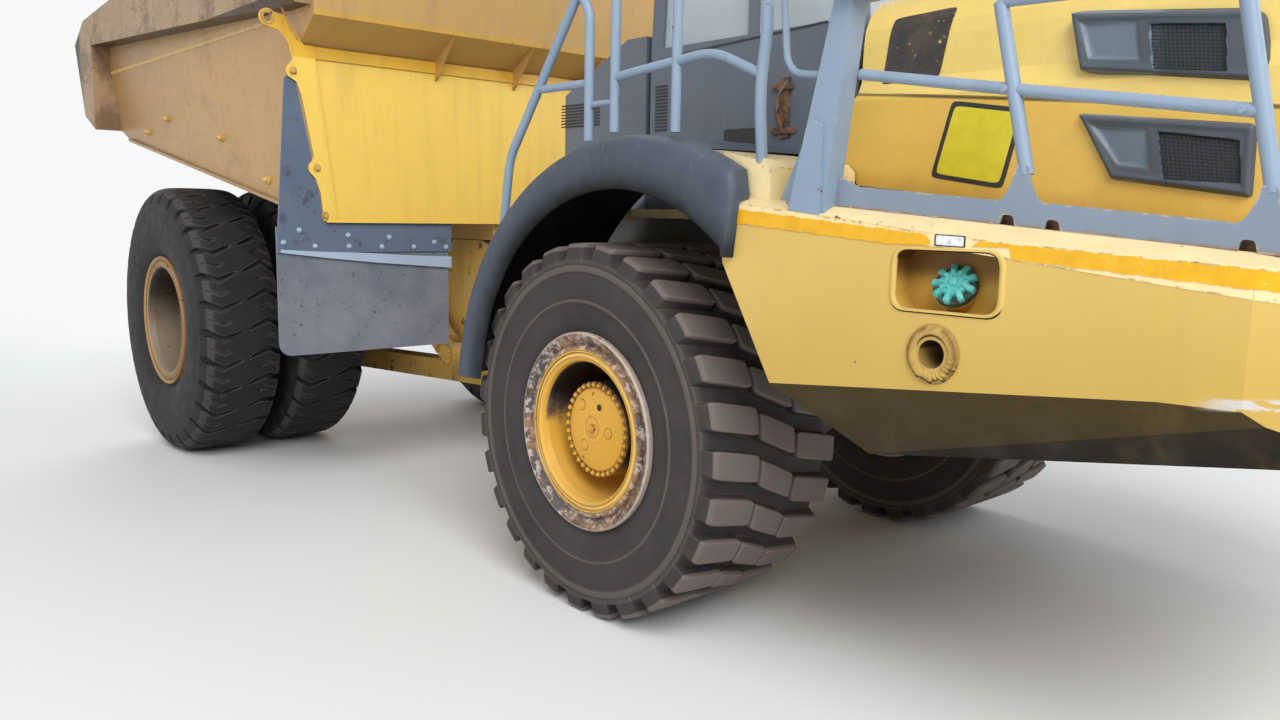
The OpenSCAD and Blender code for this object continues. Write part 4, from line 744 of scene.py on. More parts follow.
# The frames, axles, hitch, cylinders and engine: welded steel, painted once and now dusty and oily.
# They keep their CAD solids and take a paint that dirt, chips and rust have dulled.
frame_paint = paint("dusty frame paint", (0.56, 0.32, 0.05), dusty=0.65, streaky=0.6, chipped=0.6, worn=0.6,
                    gloss=0.5)
axle_paint = paint("oily axle paint", (0.10, 0.09, 0.08), dusty=0.8, streaky=0.5, chipped=0.6, gloss=0.5,
                   dust=(0.20, 0.16, 0.12))
engine_paint = paint("sooty engine paint", (0.07, 0.07, 0.07), dusty=0.5, streaky=0.4, chipped=0.4,
                     gloss=0.45, dust=(0.22, 0.19, 0.15))
dress(frame_paint, "front_frame", "rear_frame", "rear_axle", "hitch_yoke", "steer_barrel_right",
      "steer_barrel_left", "tip_barrels")
dress(axle_paint, "front_axle", "driveshaft")
dress(engine_paint, "engine")
chrome = grained("polished rod", (14.0, 6.0, 0.65), (0.5, 0.75), (0.62, 0.62, 0.61), (0.30, 0.25, 0.19),
                 (0.3, 0.7, 0.14, 0.34), Metallic=1.0)
dress(chrome, "steer_rod_right", "steer_rod_left", "tip_rods")

# The bumper and its side tanks: thick plate in a warm faded yellow, one welding from wheel arch to nose, with
# a chamfered cream ledge along the top, a band of worn orange tape, a blank label and a welded ring round the
# tie hole.

tie_hole_x, tie_hole_z = 1.96, 1.56


def over_line(tree, x, z, start, end):
    """Height of a point over the line through two points (x, z)."""
    slope = (end[1] - start[1]) / (end[0] - start[0])
    return maths(tree, "ADD", times_plus(tree, x, -slope, z), slope * start[0] - start[1])


def tank_shades(tree, own, colour):
    """Deeper towards the fold, with painted shade in black-brown under it, scraped along it, with painted
    shade in the pocket, rusty at the tie hole, and with painted shade in the hole itself."""
    x, y, z = truck_place(tree, own)
    up = node(tree, "SeparateXYZ", {0: own["Normal"]}).outputs["Z"]
    above = over_line(tree, x, z, (1.23, 1.36), (3.35, 1.57))
    mix = cloud(tree, own, 9.0, 7.0, 0.7)
    colour = blend(tree, between(tree, times_plus(tree, mix, 0.1, above), 0.60, 0.02, 0.0, 0.8), colour,
                   (0.56, 0.365, 0.085))
    # Painted shade: faces that turn down, under the fold, go near black-brown.
    below = between(tree, up, -0.15, -0.45)
    painted_underside_shade = blend(tree, between(tree, times_plus(tree, mix, 0.12, above), 0.04, -0.20), (0.022, 0.013, 0.003),
                 (0.004, 0.003, 0.002))
    colour = blend(tree, below, colour, painted_underside_shade)
    scrape = times(tree, between(tree, maths(tree, "ABSOLUTE", above), 0.022, 0.010),
                   between(tree, x, 2.78, 2.90))
    scrape = times(tree, scrape,
                   between(tree, cloud(tree, stretched(tree, own["Object"], (1, 1, 4)), 14.0), 0.42, 0.5))
    colour = blend(tree, scrape, colour, (0.62, 0.58, 0.53))
    inside = times(tree, between(tree, maths(tree, "ABSOLUTE", y), 1.712, 1.69), between(tree, x, 2.24, 2.20))
    inside = times(tree, inside, times(tree, between(tree, x, 1.76, 1.78), between(tree, z, 1.68, 1.70)))
    inside = times(tree, inside, between(tree, z, 1.94, 1.92))
    # Painted shade in the pocket: orange low down, dark brown under its top edge.
    deep = blend(tree, between(tree, times_plus(tree, mix, 0.05, z), 1.80, 1.88), (0.58, 0.34, 0.055),
                 (0.13, 0.045, 0.010))
    colour = blend(tree, times(tree, inside, 0.85), colour, deep)
    ring, _ = radius_from(tree, own, tie_hole_x, tie_hole_z)
    ragged = times_plus(tree, mix, 0.03, ring)
    rusty = times(tree, between(tree, ragged, 0.125, 0.108), between(tree, ring, 0.075, 0.095, 0.35, 1.0))
    colour = blend(tree, times(tree, rusty, between(tree, mix, 0.40, 0.55, 0.25, 0.9)), colour,
                   (0.14, 0.065, 0.022))
    # Painted shade: the tie hole itself is near black.
    return blend(tree, between(tree, ring, 0.0505, 0.0490), colour, (0.012, 0.007, 0.004))


tank_paint = paint("warm tank paint", (0.70, 0.475, 0.125), dusty=0.15, streaky=0.12, chipped=0.10, worn=0.30,
                   edge=(0.86, 0.66, 0.36), gloss=0.36, more=tank_shades)
tank_paint.node_tree.nodes["Principled BSDF"].inputs["Specular IOR Level"].default_value = 0.18
dress(tank_paint, "bumper")
cream_ledge = paint("chipped cream ledge", (0.92, 0.72, 0.36), dusty=0.3, streaky=0.0, chipped=0.42,
                    worn=0.75, edge=(0.16, 0.085, 0.035), gloss=0.42)
tape, tree, shader, own = finish_of("worn orange tape")
wear = cloud(tree, own, 15.0, 8.0, 0.72)
colour = blend(tree, between(tree, wear, 0.35, 0.6), (0.74, 0.37, 0.002), (0.82, 0.43, 0.004))
colour = blend(tree, between(tree, wear, 0.64, 0.68), colour, (0.76, 0.58, 0.28))
show(tree, shader, colour, wear, 0.3, 0.7, 0.25, 0.45)
bumped(tree, shader, wear, 0.3, 0.001)
blank_label = grained("blank label", (60.0, 7.0, 0.7), (0.52, 0.66), (0.80, 0.81, 0.80), (0.42, 0.43, 0.42),
                      0.4)
black_film = grained("black film", (50.0, 7.0, 0.7), None, (0.008, 0.008, 0.008), (0.035, 0.033, 0.030),
                     (0.3, 0.7, 0.35, 0.6))


def strip(upper, lower, lift, thick):
    """A plate between two edge lines: a rectangle carried along them, thick along lift."""
    upper, lower = np.asarray(upper, float), np.asarray(lower, float)
    rise = np.asarray(lift, float) * thick
    return carried(np.stack([upper, upper + rise, lower + rise, lower], 1))


def rounded_corners(points, radius, steps=5):
    """A flat outline whose corners are turned into arcs of the given radius: each is the curve from a point
    before the corner to a point after it, drawn by a quadratic."""
    p = np.asarray(points, float)
    before, after = np.roll(p, 1, 0) - p, np.roll(p, -1, 0) - p
    start = p + before / np.linalg.norm(before, axis=1)[:, None] * radius
    end = p + after / np.linalg.norm(after, axis=1)[:, None] * radius
    t = np.linspace(0, 1, steps)[None, :, None]
    curve = (1 - t) ** 2 * start[:, None] + 2 * t * (1 - t) * p[:, None] + t**2 * end[:, None]
    return curve.reshape(-1, p.shape[1])


def upright_outline(points, y):
    """Points (forward, up) set on the plane at y."""
    p = np.asarray(points, float)
    return np.stack([p[:, 0], np.full(len(p), y), p[:, 1]], -1)


def tank_side(x):
    """Half width of the tank at x, where its plan rounds towards the nose."""
    return np.interp(x, [0.9, 2.7, 2.9203, 3.0498, 3.1643, 3.256],
                     [1.72, 1.72, 1.7121, 1.6713, 1.5983, 1.4983])


tank_top_z = lambda x: 2.08 - (x - 0.96) * 0.265 / 2.39
ledge_x = np.linspace(0.985, 3.10, 90)
settle = np.clip((3.10 - ledge_x) / 0.07, 0, 1)
edge_z = np.maximum(np.interp(ledge_x, [0.994, 2.04, 2.98, 3.1], [2.054, 1.964, 1.903, 1.895]),
                    tank_top_z(ledge_x) + 0.002)
edge_z = tank_top_z(ledge_x) + settle * (edge_z - tank_top_z(ledge_x))
ledge_z = tank_top_z(ledge_x) + settle * (np.interp(ledge_x, [0.985, 1.469, 2.828, 3.1],
                                                    [2.098, 2.060, 1.948, 1.926])
                                          - tank_top_z(ledge_x))
for side, hand in both_sides:
    lift = (0.0, side, 0.0)
    out = tank_side(ledge_x)
    rows = [(out + 0.0015, tank_top_z(ledge_x) - 0.045), (out + 0.0015, edge_z - 0.006),
            (out - 0.004, edge_z), (out - 0.074, ledge_z), (out - 0.14, ledge_z),
            (out - 0.14, tank_top_z(ledge_x) - 0.045)]
    section = np.stack([np.stack([ledge_x, side * y, z], -1) for y, z in rows], 1)
    put_on("tank_ledge_" + hand, [carried(section)], cream_ledge, "front", 20)
    for start, end, part in ((0.99, 1.925, "rear"), (2.085, 3.09, "front")):
        x = np.linspace(start, end, 110)
        frayed = 0.0022 * np.sin(61 * x) * np.sin(17 * x + 1) + 0.0012 * np.sin(211 * x)
        torn = 0.016 * (np.clip(1 - (x - start) / 0.025, 0, 1) + np.clip(1 - (end - x) / 0.02, 0, 1))
        high = np.interp(x, [0.99, 2.04, 2.98, 3.1], [2.050, 1.955, 1.896, 1.888]) - torn + frayed
        low = np.interp(x, [0.99, 2.04, 2.98, 3.1], [1.993, 1.909, 1.841, 1.832]) + torn * 0.6 - frayed[::-1]
        low = np.where(np.abs(x - 1.99) < 0.225, np.maximum(low, 1.9315), low)
        y = side * (tank_side(x) + 0.0018)
        put_on("orange_tape_" + part + "_" + hand,
               [strip(np.stack([x, y, high], -1), np.stack([x, y, low], -1), lift, 0.0012)], tape, "front",
               20)
    # Weld bead round the tie hole: a ring whose foot is built up in rough waves
    turn = np.linspace(0, 2 * np.pi, 120, endpoint=False)[None]
    a = np.linspace(0, 2 * np.pi, 14, endpoint=False)[:, None]
    rough = np.clip(-np.sin(turn - 0.5), 0, 1)
    ragged = 1 + 0.10 * rough * np.sin(23 * turn)
    radius = 0.079 + 0.020 * np.cos(a) * ragged + 0.004 * rough * np.sin(11 * turn)
    out = 1.7255 + (0.010 + 0.003 * rough * np.sin(29 * turn + 2 * a)) * np.sin(a)
    bead = np.stack([tie_hole_x + radius * np.cos(turn), side * out, tie_hole_z + radius * np.sin(turn)], -1)
    put_on("tie_hole_bead_" + hand, [(bead, True, True)], tank_paint, "front", 60)
# Rolled rim of the pocket on the right, which is where the tank is filled
corner = rounded_corners([(2.197, 1.703), (2.197, 1.917), (1.783, 1.917), (1.783, 1.703)], 0.06, 10)
outward = corner - (1.99, 1.81)
outward /= np.linalg.norm(outward, axis=1)[:, None]
a = np.linspace(0, 2 * np.pi, 10, endpoint=False)[:, None, None]
rim = corner[None] + 0.013 * np.cos(a) * outward[None]
rim = np.stack([rim[..., 0], -(1.7165 + 0.0095 * np.sin(a[..., 0]) + 0 * rim[..., 0]), rim[..., 1]], -1)
put_on("pocket_rim", [(rim, True, True)], tank_paint, "front", 60)
plate = rounded_corners([(1.943, 1.970), (2.059, 1.966), (2.059, 1.927), (1.943, 1.930)], 0.005)
put_on("label_border", [boss(upright_outline(plate, -1.7229), (0, -1, 0), slab(-0.001, 0.0006))],
       black_film, "front")
plate = rounded_corners([(1.949, 1.966), (2.053, 1.962), (2.053, 1.931), (1.949, 1.934)], 0.004)
put_on("blank_label", [boss(upright_outline(plate, -1.7235), (0, -1, 0), slab(-0.0005, 0.0008))],
       blank_label, "front")
# Filler cap: a neck that leans up and outward, a dark skirt, and a hand wheel with nine blunt teeth
green, tree, shader, own = finish_of("turquoise cap plastic")
weather = cloud(tree, own, 50.0, 6.0, 0.65)
colour = blend(tree, between(tree, weather, 0.35, 0.7), (0.045, 0.36, 0.33), (0.15, 0.50, 0.46))
show(tree, shader, blend(tree, between(tree, weather, 0.62, 0.68), colour, (0.025, 0.13, 0.11)), weather, 0.3,
     0.7, 0.45, 0.65)
bumped(tree, shader, weather, 0.35, 0.0012)
dark_green = grained("dark cap skirt", (45.0, 6.0, 0.65), (0.4, 0.65), (0.008, 0.020, 0.018),
                     (0.04, 0.09, 0.075), (0.3, 0.7, 0.45, 0.65))
cap_lean = np.array([0.16, -0.80, 0.58])
cap_lean /= np.linalg.norm(cap_lean)
cap_middle = np.array([1.995, -1.668, 1.803])
beside = np.cross(cap_lean, (0, 0, 1))
beside /= np.linalg.norm(beside)
above = np.cross(beside, cap_lean)
turn = np.linspace(0, 2 * np.pi, 144, endpoint=False)
tooth = 0.064 + 0.0135 * np.tanh(4 * np.cos(9 * turn + 0.4))
star = cap_middle + tooth[:, None] * (np.cos(turn)[:, None] * beside + np.sin(turn)[:, None] * above)
wheel = boss(star, cap_lean,
             [(0, -0.012), (1, -0.012), (1.0, 0.006), (0.95, 0.011), (0.70, 0.015), (0.60, 0.021),
              (0.50, 0.022),
                             (0.28, 0.018), (0.24, 0.021), (0, 0.022)])
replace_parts(put_on("cap_hand_wheel", [wheel], green, "front", 30), "filler_cap")
skirt = boss(disc(cap_middle, cap_lean, 0.076, 48), cap_lean,
             [(0, -0.040), (0.92, -0.040), (1, -0.034), (1, -0.010), (0.93, -0.004), (0.70, -0.004),
              (0, -0.004)])
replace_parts(put_on("cap_skirt", [skirt], dark_green, "front", 30), "filler_cap")
neck = boss(disc(cap_middle, cap_lean, 0.060, 40), cap_lean,
            [(0, -0.115), (1, -0.115), (1, -0.052), (1.22, -0.050), (1.22, -0.039), (0, -0.039)])
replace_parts(put_on("cap_neck", [neck], tank_paint, "front", 30), "filler_cap")
for name, lamps, ribs_to_metre, first, second, rough in (
        ("ribbed lamp glass", "headlamps", 22.0, (0.72, 0.74, 0.74), (0.88, 0.89, 0.88), 0.12),
        ("red lamp lens", "tail_lamps", 30.0, (0.40, 0.020, 0.012), (0.62, 0.045, 0.03), 0.2)):
    lens, tree, shader, own = finish_of(name)
    ribs = node(tree, "TexWave", {"Vector": own["Object"], "Scale": ribs_to_metre},
                bands_direction="Y").outputs["Fac"]
    tree.links.new(blend(tree, ribs, first, second), shader["Base Color"])
    bumped(tree, shader, ribs, 0.5, 0.002)
    shader["Roughness"].default_value = rough
    dress(lens, lamps)

# The fenders: slate mouldings over the front wheels, one skin that rolls over its outer edge into a flat top,
# with a soft sheen, rubbed and dusty above, darker towards the rolled lip. A dark liner closes the arch
# behind the wheel.
slate, tree, shader, own = finish_of("slate fender plastic")
patch = cloud(tree, own, 3.0, 6.0, 0.65)
drawn = cloud(tree, stretched(tree, own["Object"], (1, 1, 0.2)), 30.0)
colour = blend(tree, between(tree, patch, 0.3, 0.72), (0.050, 0.061, 0.085), (0.075, 0.090, 0.124))
colour = blend(tree, between(tree, drawn, 0.60, 0.72, 0.0, 0.5), colour, (0.15, 0.17, 0.21))
away, _ = radius_from(tree, own, 0.27, 1.02)
colour = blend(tree, between(tree, away, 1.25, 1.12), colour, (0.014, 0.016, 0.022))
up = node(tree, "SeparateXYZ", {0: own["Normal"]}).outputs["Z"]
# Painted shade: faces that turn down are made nearly black.
colour = blend(tree, between(tree, up, -0.1, -0.4), colour, (0.006, 0.006, 0.007))
lying = use(tree, settled_dust, {"Amount": 0.30, "Patches per metre": 7.0})["Mask"]
colour = blend(tree, lying, colour, (0.14, 0.155, 0.18))
show(tree, shader, colour, patch, 0.3, 0.7, 0.42, 0.60)
shader["Specular IOR Level"].default_value = 0.3
bumped(tree, shader, cloud(tree, own, 210.0, 4.0, 0.6), 0.22, 0.001)


def bent(points, radius, steps=9):
    """A path through points whose corners are rounded: near each, a quadratic from the point before it to the
    one after, no longer than half of the shorter side."""
    p = np.asarray(points, float)
    made = [p[:1]]
    for a, b, c in zip(p[:-2], p[1:-1], p[2:]):
        reach = min(radius, 0.45 * np.linalg.norm(a - b), 0.45 * np.linalg.norm(c - b))
        start, end = b + (a - b) / np.linalg.norm(a - b) * reach, b + (c - b) / np.linalg.norm(c - b) * reach
        t = np.linspace(0, 1, steps)[:, None]
        made.append((1 - t) ** 2 * start + 2 * t * (1 - t) * b + t**2 * end)
    return np.concatenate(made + [p[-1:]])


turn = np.radians(np.linspace(172, 62, 72))
arch_x, arch_r = 0.35, 1.435
fender_outer = np.concatenate([[(-1.083, 1.10)],
                               np.stack([arch_x + arch_r * np.cos(turn), front_r + arch_r * np.sin(turn)],
                                        -1),
                               bent([(1.0237, 2.207), (1.045, 2.10), (1.012, 1.85)], 0.08)[1:]])
turn = np.radians(np.concatenate([np.linspace(170, 64, 72), np.linspace(63, 50.5, len(fender_outer) - 74)]))
fender_inner = np.concatenate([[(-0.850, 1.10)],
                               np.stack([0.27 + 1.11 * np.cos(turn), 1.02 + 1.11 * np.sin(turn)], -1),
                               [(0.986, 1.853)]])
skin = [(0.0, 1.744), (0.012, 1.756), (0.05, 1.766), (0.13, 1.774), (0.30, 1.7790), (0.55, 1.7797),
        (0.75, 1.777), (0.86, 1.769), (0.93, 1.753), (0.975, 1.728), (1.0, 1.690), (1.0, 1.667)]
lining = [(0.03, 1.744), (0.04, 1.748), (0.07, 1.750), (0.15, 1.751), (0.30, 1.752), (0.55, 1.752),
          (0.75, 1.748), (0.83, 1.740), (0.88, 1.725), (0.91, 1.705), (0.92, 1.680), (0.92, 1.667)]


def fender_sheet(rows, side):
    """Points a share of the way from the inner to the outer edge line, each at its own distance out, with a
    top that runs on inward to the deck."""
    share, out = np.array(rows).T
    flat = fender_inner[:, None] + share[None, :, None] * (fender_outer - fender_inner)[:, None]
    out = np.tile(out, (len(flat), 1))
    inner = np.where(flat[:, -1:, 0] > 0.785, 1.6665, 0.936)
    out, flat = np.concatenate([out, inner], 1), np.concatenate([flat, flat[:, -1:]], 1)
    return np.stack([flat[..., 0], side * out, flat[..., 1]], -1)


def shell(outer, inner):
    """Two sheets of the same grid joined round their edges."""
    edge = lambda g: np.concatenate([g[0], g[1:, -1], g[-1, -2::-1], g[-2:0:-1, 0]])
    return [(outer, False, False), (inner, False, False), (np.stack([edge(outer), edge(inner)]), False, True)]


for side, hand in both_sides:
    piece = put_on("fender_moulding_" + hand, shell(fender_sheet(skin, side), fender_sheet(lining, side)),
                   slate, "front", 40)
    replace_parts(piece, "fenders")
    liner = strip([(-1.02, side * 0.80, 2.0), (0.95, side * 0.80, 2.0)],
                  [(-0.86, side * 0.80, 1.35), (0.86, side * 0.80, 1.35)], (0, side, 0), 0.012)
    put_on("arch_liner_" + hand, [liner], engine_paint, "front", 30)

# Decks, steps and handrails: sheet, and bent tube in a blue grey gone chalky, with a kick plate along the
# tank whose torn gussets hold the stanchions. The tubes are one smooth bend each, welded where they meet.


def deck_shades(tree, own, colour):
    """Pale where boots scuff it, with grime in patches."""
    mix = cloud(tree, own, 6.0, 8.0, 0.72)
    colour = blend(tree, between(tree, mix, 0.55, 0.66), colour, (0.34, 0.24, 0.12))
    return blend(tree, between(tree, mix, 0.36, 0.30), colour, (0.90, 0.80, 0.55))


deck_paint = paint("scuffed cream deck paint", (0.86, 0.70, 0.37), dusty=0.45, streaky=0.3, chipped=0.4,
                   worn=0.7, edge=(0.20, 0.13, 0.07), more=deck_shades)
slate_paint = paint("slate grey paint", (0.105, 0.125, 0.160), dusty=0.25, streaky=0.25, chipped=0.16,
                    edge=(0.28, 0.29, 0.31), dust=(0.24, 0.24, 0.24))
tube_paint = paint("chalky tube paint", (0.225, 0.305, 0.410), dusty=0.15, streaky=0.35, chipped=0.28,
                   worn=0.45, edge=(0.50, 0.50, 0.50), dust=(0.42, 0.41, 0.39), gloss=0.42)
dress(deck_paint, "decks")
dress(slate_paint, "steps", "cab_shell", "cab_door", "rear_box")
dress(tube_paint, "mirrors")


def tube(path, radius, count=16, axis=(0.0, 1.0, 0.0)):
    """A round tube: circles square to the path, turned from a fixed axis so that they don't twist."""
    p = np.asarray(path, float)
    ahead = np.gradient(p, axis=0)
    ahead /= np.linalg.norm(ahead, axis=1)[:, None]
    beside = np.cross(ahead, axis)
    beside /= np.linalg.norm(beside, axis=1)[:, None]
    above = np.cross(beside, ahead)
    a = np.linspace(0, 2 * np.pi, count, endpoint=False)[:, None]
    return carried(p[:, None] + radius * (np.cos(a) * beside[:, None] + np.sin(a) * above[:, None]))


rusty_steel = grained("rusty steel", (26.0, 7.0, 0.7), (0.38, 0.62), (0.035, 0.032, 0.035),
                      (0.24, 0.11, 0.05), (0.38, 0.62, 0.4, 0.85), (0.5, 0.002))
rail_foot_r = 1.4583


def arch(x):
    """Height at x of the circle on the fender's top where the rails' feet stand."""
    return front_r + np.sqrt(rail_foot_r**2 - (x - arch_x) ** 2)


# The kick plate's edges: straight lines, with gussets that flare at their feet and round-topped notches
# between
kick_rear, kick_front, raked_from = 1.456, 3.004, 2.94
kick_x = np.unique(np.concatenate([np.linspace(kick_rear, kick_front, 130), np.linspace(2.10, 2.34, 60),
                                   np.linspace(2.83, 3.0, 40)]))
gusset = sum(0.116 * np.clip(1 - (np.abs(kick_x - c) - 0.019) / 0.070, 0, 1) ** 2.6 for c in (2.198, 2.912))
kick_top = np.interp(kick_x, [kick_rear, 1.474, 1.56, 2.127, 2.304, 2.80, kick_front],
                     [2.120, 2.170, 2.134, 2.084, 2.074, 2.028, 1.990])
kick_top = np.minimum(np.maximum(kick_top + gusset, 0),
                      np.interp(kick_x, [raked_from, kick_front], [2.2, 1.935]) + 9 * (kick_x < raked_from))
notch = sum(np.clip(1 - ((kick_x - c) / h) ** 4, 0, 1) ** 0.5 * d for c, h, d in (
    (2.158, 0.026, 0.034), (2.312, 0.026, 0.034), (2.872, 0.024, 0.034)))
kick_foot = np.interp(kick_x, [kick_rear, 2.10, 2.36, 2.96, kick_front],
                      [2.062, 2.009, 1.984, 1.936, 1.929]) + notch


def kick_shades(tree, own, colour):
    """Rust creeps into the plate's lower edge and round the feet of its gussets."""
    x, _, z = truck_place(tree, own)
    mix = cloud(tree, own, 19.0, 8.0, 0.72)
    above = over_line(tree, x, z, (1.469, 2.062), (2.96, 1.936))
    low = between(tree, times_plus(tree, mix, -0.06, above), -0.018, -0.034)
    return blend(tree, times(tree, low, 0.85), colour, (0.26, 0.12, 0.045))


rail_y, walk_y = 1.69, 1.624
rail_r, thin_r, hoop_top = 0.0235, 0.020, 3.29
kick_paint = paint("kick plate paint", (0.190, 0.245, 0.320), dusty=0.2, streaky=0.3, chipped=0.35, worn=0.7,
                   edge=(0.55, 0.46, 0.36), dust=(0.42, 0.41, 0.39), more=kick_shades)
for side, hand in both_sides:
    at = lambda points, y: np.insert(np.asarray(points, float), 1, side * y, 1)
    hoop = at([(0.21, arch(0.21)), (0.21, hoop_top), (1.01, hoop_top), (1.14, 2.85), (1.10, 2.50),
               (1.078, 2.240)], rail_y)
    hoop[-1, 1] = side * 1.638
    rails = [
        tube(bent(at([(-0.70, arch(-0.70)), (-0.64, 2.30), (-0.06, 3.06), (0.02, 2.96), (0.02, arch(0.02))],
                     rail_y), 0.07), rail_r),
        tube(bent(hoop, 0.16), rail_r),
        tube(at([(0.62, arch(0.62)), (0.62, hoop_top)], rail_y), 0.0225),
        tube(at([(-0.385, 2.63), (0.02, 2.63)], rail_y), thin_r),
        tube(bent(at([(0.21, 2.64), (0.84, 2.69), (1.115, 2.57)], rail_y), 0.10), thin_r),
        tube(bent(at([(0.02, 2.42), (0.02, 2.53), (0.21, 2.53), (0.21, 2.42)], rail_y), 0.05), 0.014)]
    piece = put_on("fender_handrail_" + hand, rails, tube_paint, "front", 40)
    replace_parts(piece, "fender_rails")
    posts = ((2.206, 2.165), (2.918, 2.105))
    rails = [tube([(x, side * walk_y, z), (x - 0.132, side * walk_y, 2.72)], rail_r) for x, z in posts]
    rails += [tube(bent(at([(1.536, 2.541), (2.14, 2.44), (2.87, 2.325)], walk_y), 0.06), thin_r),
              tube(bent(at([(2.065, 2.705), (2.09, 2.722), (2.76, 2.70)], walk_y), 0.03), thin_r)]
    for x, z in ((2.115, 2.445), (2.822, 2.333)):
        rails.append(boss(disc([(x, side * 1.645, z)], (0, side, 0), 0.013, 12), (0, side, 0),
                          [(0, -0.01), (1, -0.01), (1, 0.003), (0, 0.005)]))
    piece = put_on("walkway_handrail_" + hand, rails, tube_paint, "front", 40)
    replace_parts(piece, "walkway_rails")
    edges = [np.stack([kick_x, side * 1.635 + 0 * kick_x, z], -1) for z in (kick_top, kick_foot)]
    put_on("kick_plate_" + hand, [strip(*edges, (0, side, 0), 0.010)], kick_paint, "front", 25)
    # A sheet in rusty steel behind the notches stands in for the shade between the plate and the deck.
    flat = [(1.50, 2.090), (2.95, 1.975)], [(1.50, 2.055), (2.95, 1.935)]
    back = strip(at(flat[0], 1.600), at(flat[1], 1.600), (0, side, 0), 0.008)
    put_on("kick_notch_shade_sheet_" + hand, [back], rusty_steel, "front", 30)
    # The grab rail by the steps, and the round dish that carries the mirror arm
    grab = tube(bent(at([(1.187, 2.847), (1.209, 2.621), (1.251, 2.568), (1.349, 2.552), (1.455, 2.55)],
                        1.66), 0.04), 0.014)
    dish = [(0.0, 2.800), (0.05, 2.800), (0.094, 2.806), (0.104, 2.812), (0.110, 2.822), (0.104, 2.826),
            (0.06, 2.835), (0.0, 2.836)]
    turn = np.linspace(0, 2 * np.pi, 40, endpoint=False)
    r, h = np.array(dish).T[:, :, None]
    bowl = np.stack([1.55 + r * np.cos(turn), side * 1.66 + r * np.sin(turn), h + 0 * turn], -1)
    put_on("grab_rail_" + hand, [grab, (bowl, False, True)], tube_paint, "front", 40)

# The cab: slate sheet round laminated panes with a patchy film of dust, black trim inside, a seam line under
# the sill, and a latch, a louvred grille and a vent on the faces behind the deck.
pane, tree, shader, own = finish_of("dusty cab glass")
film = cloud(tree, own, 5.0, 6.0, 0.65)
low = cloud(tree, own, 1.4, 3.0, 0.5)
show(tree, shader, blend(tree, film, (0.62, 0.70, 0.76), (0.74, 0.80, 0.84)), film, 0.35, 0.7, 0.03, 0.16)
shader["Transmission Weight"].default_value = 0.55
shader["IOR"].default_value = 1.35
bumped(tree, shader, low, 0.05, 0.01)
dress(pane, "cab_glass", "door_glass")
trim = grained("black trim plastic", (130.0, 5.0, 0.6), None, (0.012, 0.012, 0.013), (0.035, 0.034, 0.034),
               (0.3, 0.7, 0.5, 0.7), (0.3, 0.001))
dress(trim, "cab_interior", "hood_grille")


def block(low, high, round_off=0.004):
    """A box whose four upright edges are cut and whose two faces are closed: an outline carried from low to
    high."""
    (x0, y0, z0), (x1, y1, z1) = low, high
    outline = rounded_corners([(x0, z0), (x1, z0), (x1, z1), (x0, z1)], round_off, 3)
    return boss(upright_outline(outline, y0), (0, 1, 0), slab(0, y1 - y0))


for side, hand in both_sides:
    face = side * 0.9
    near, far = sorted((face + side * 0.001, face + side * 0.006))
    seam = strip([(-0.19, face, 2.879), (0.799, face, 2.925)], [(-0.19, face, 2.870), (0.799, face, 2.916)],
                 (0, side, 0), 0.004)
    sheets = [seam]
    if side < 0:
        # Louvred grille on the rear box and a smaller one on the cab's corner
        for x0, x1, z0, z1 in ((-1.235, -0.864, 2.54, 2.68), (-0.377, -0.279, 2.48, 2.73)):
            sheets += [block((x0, near, z), (x1, far, z + 0.008)) for z in np.arange(z0, z1, 0.018)]
        sheets.append(block((0.158, near, 2.35), (0.391, far - 0.003, 2.46)))
    put_on("cab_seams_" + hand, sheets, trim, "front", 30)
latch_face, cab_face, rod_y = -0.918, -0.899, -0.945
latch = [block((0.530, -0.912, 2.40), (0.590, cab_face, 2.69)),
         block((0.486, latch_face, 2.42), (0.628, cab_face, 2.45)),
         block((0.486, latch_face, 2.63), (0.612, cab_face, 2.66)),
         tube(bent([(0.560, -0.905, 2.42), (0.545, rod_y, 2.50), (0.550, rod_y, 2.60),
                    (0.570, -0.905, 2.67)], 0.05), 0.011, 10)]
latch += bolts([(0.503, latch_face, 2.435), (0.612, latch_face, 2.435), (0.503, latch_face, 2.645)],
               (0, -1, 0), 0.010)
put_on("cab_latch", latch, rusty_steel, "front", 30)

# The driver's seat: a crowned cushion and a leaning back in black cloth, each sewn with channels, on a
# moulded base.
cloth, tree, shader, own = finish_of("woven seat cloth")
warp = node(tree, "TexWave", {"Vector": own["Object"], "Scale": 260.0, "Distortion": 1.0},
            bands_direction="Y").outputs["Fac"]
weft = node(tree, "TexWave", {"Vector": own["Object"], "Scale": 260.0, "Distortion": 1.0},
            bands_direction="Z").outputs["Fac"]
weave = times(tree, warp, weft)
fluff = cloud(tree, own, 30.0, 6.0, 0.7)
colour = blend(tree, weave, (0.012, 0.012, 0.014), (0.055, 0.056, 0.062))
show(tree, shader, blend(tree, between(tree, fluff, 0.5, 0.75), colour, (0.12, 0.11, 0.10)), fluff, 0.3, 0.7,
     0.80, 0.95)
shader["Sheen Weight"].default_value = 0.35
bumped(tree, shader, weave, 0.5, 0.0008)


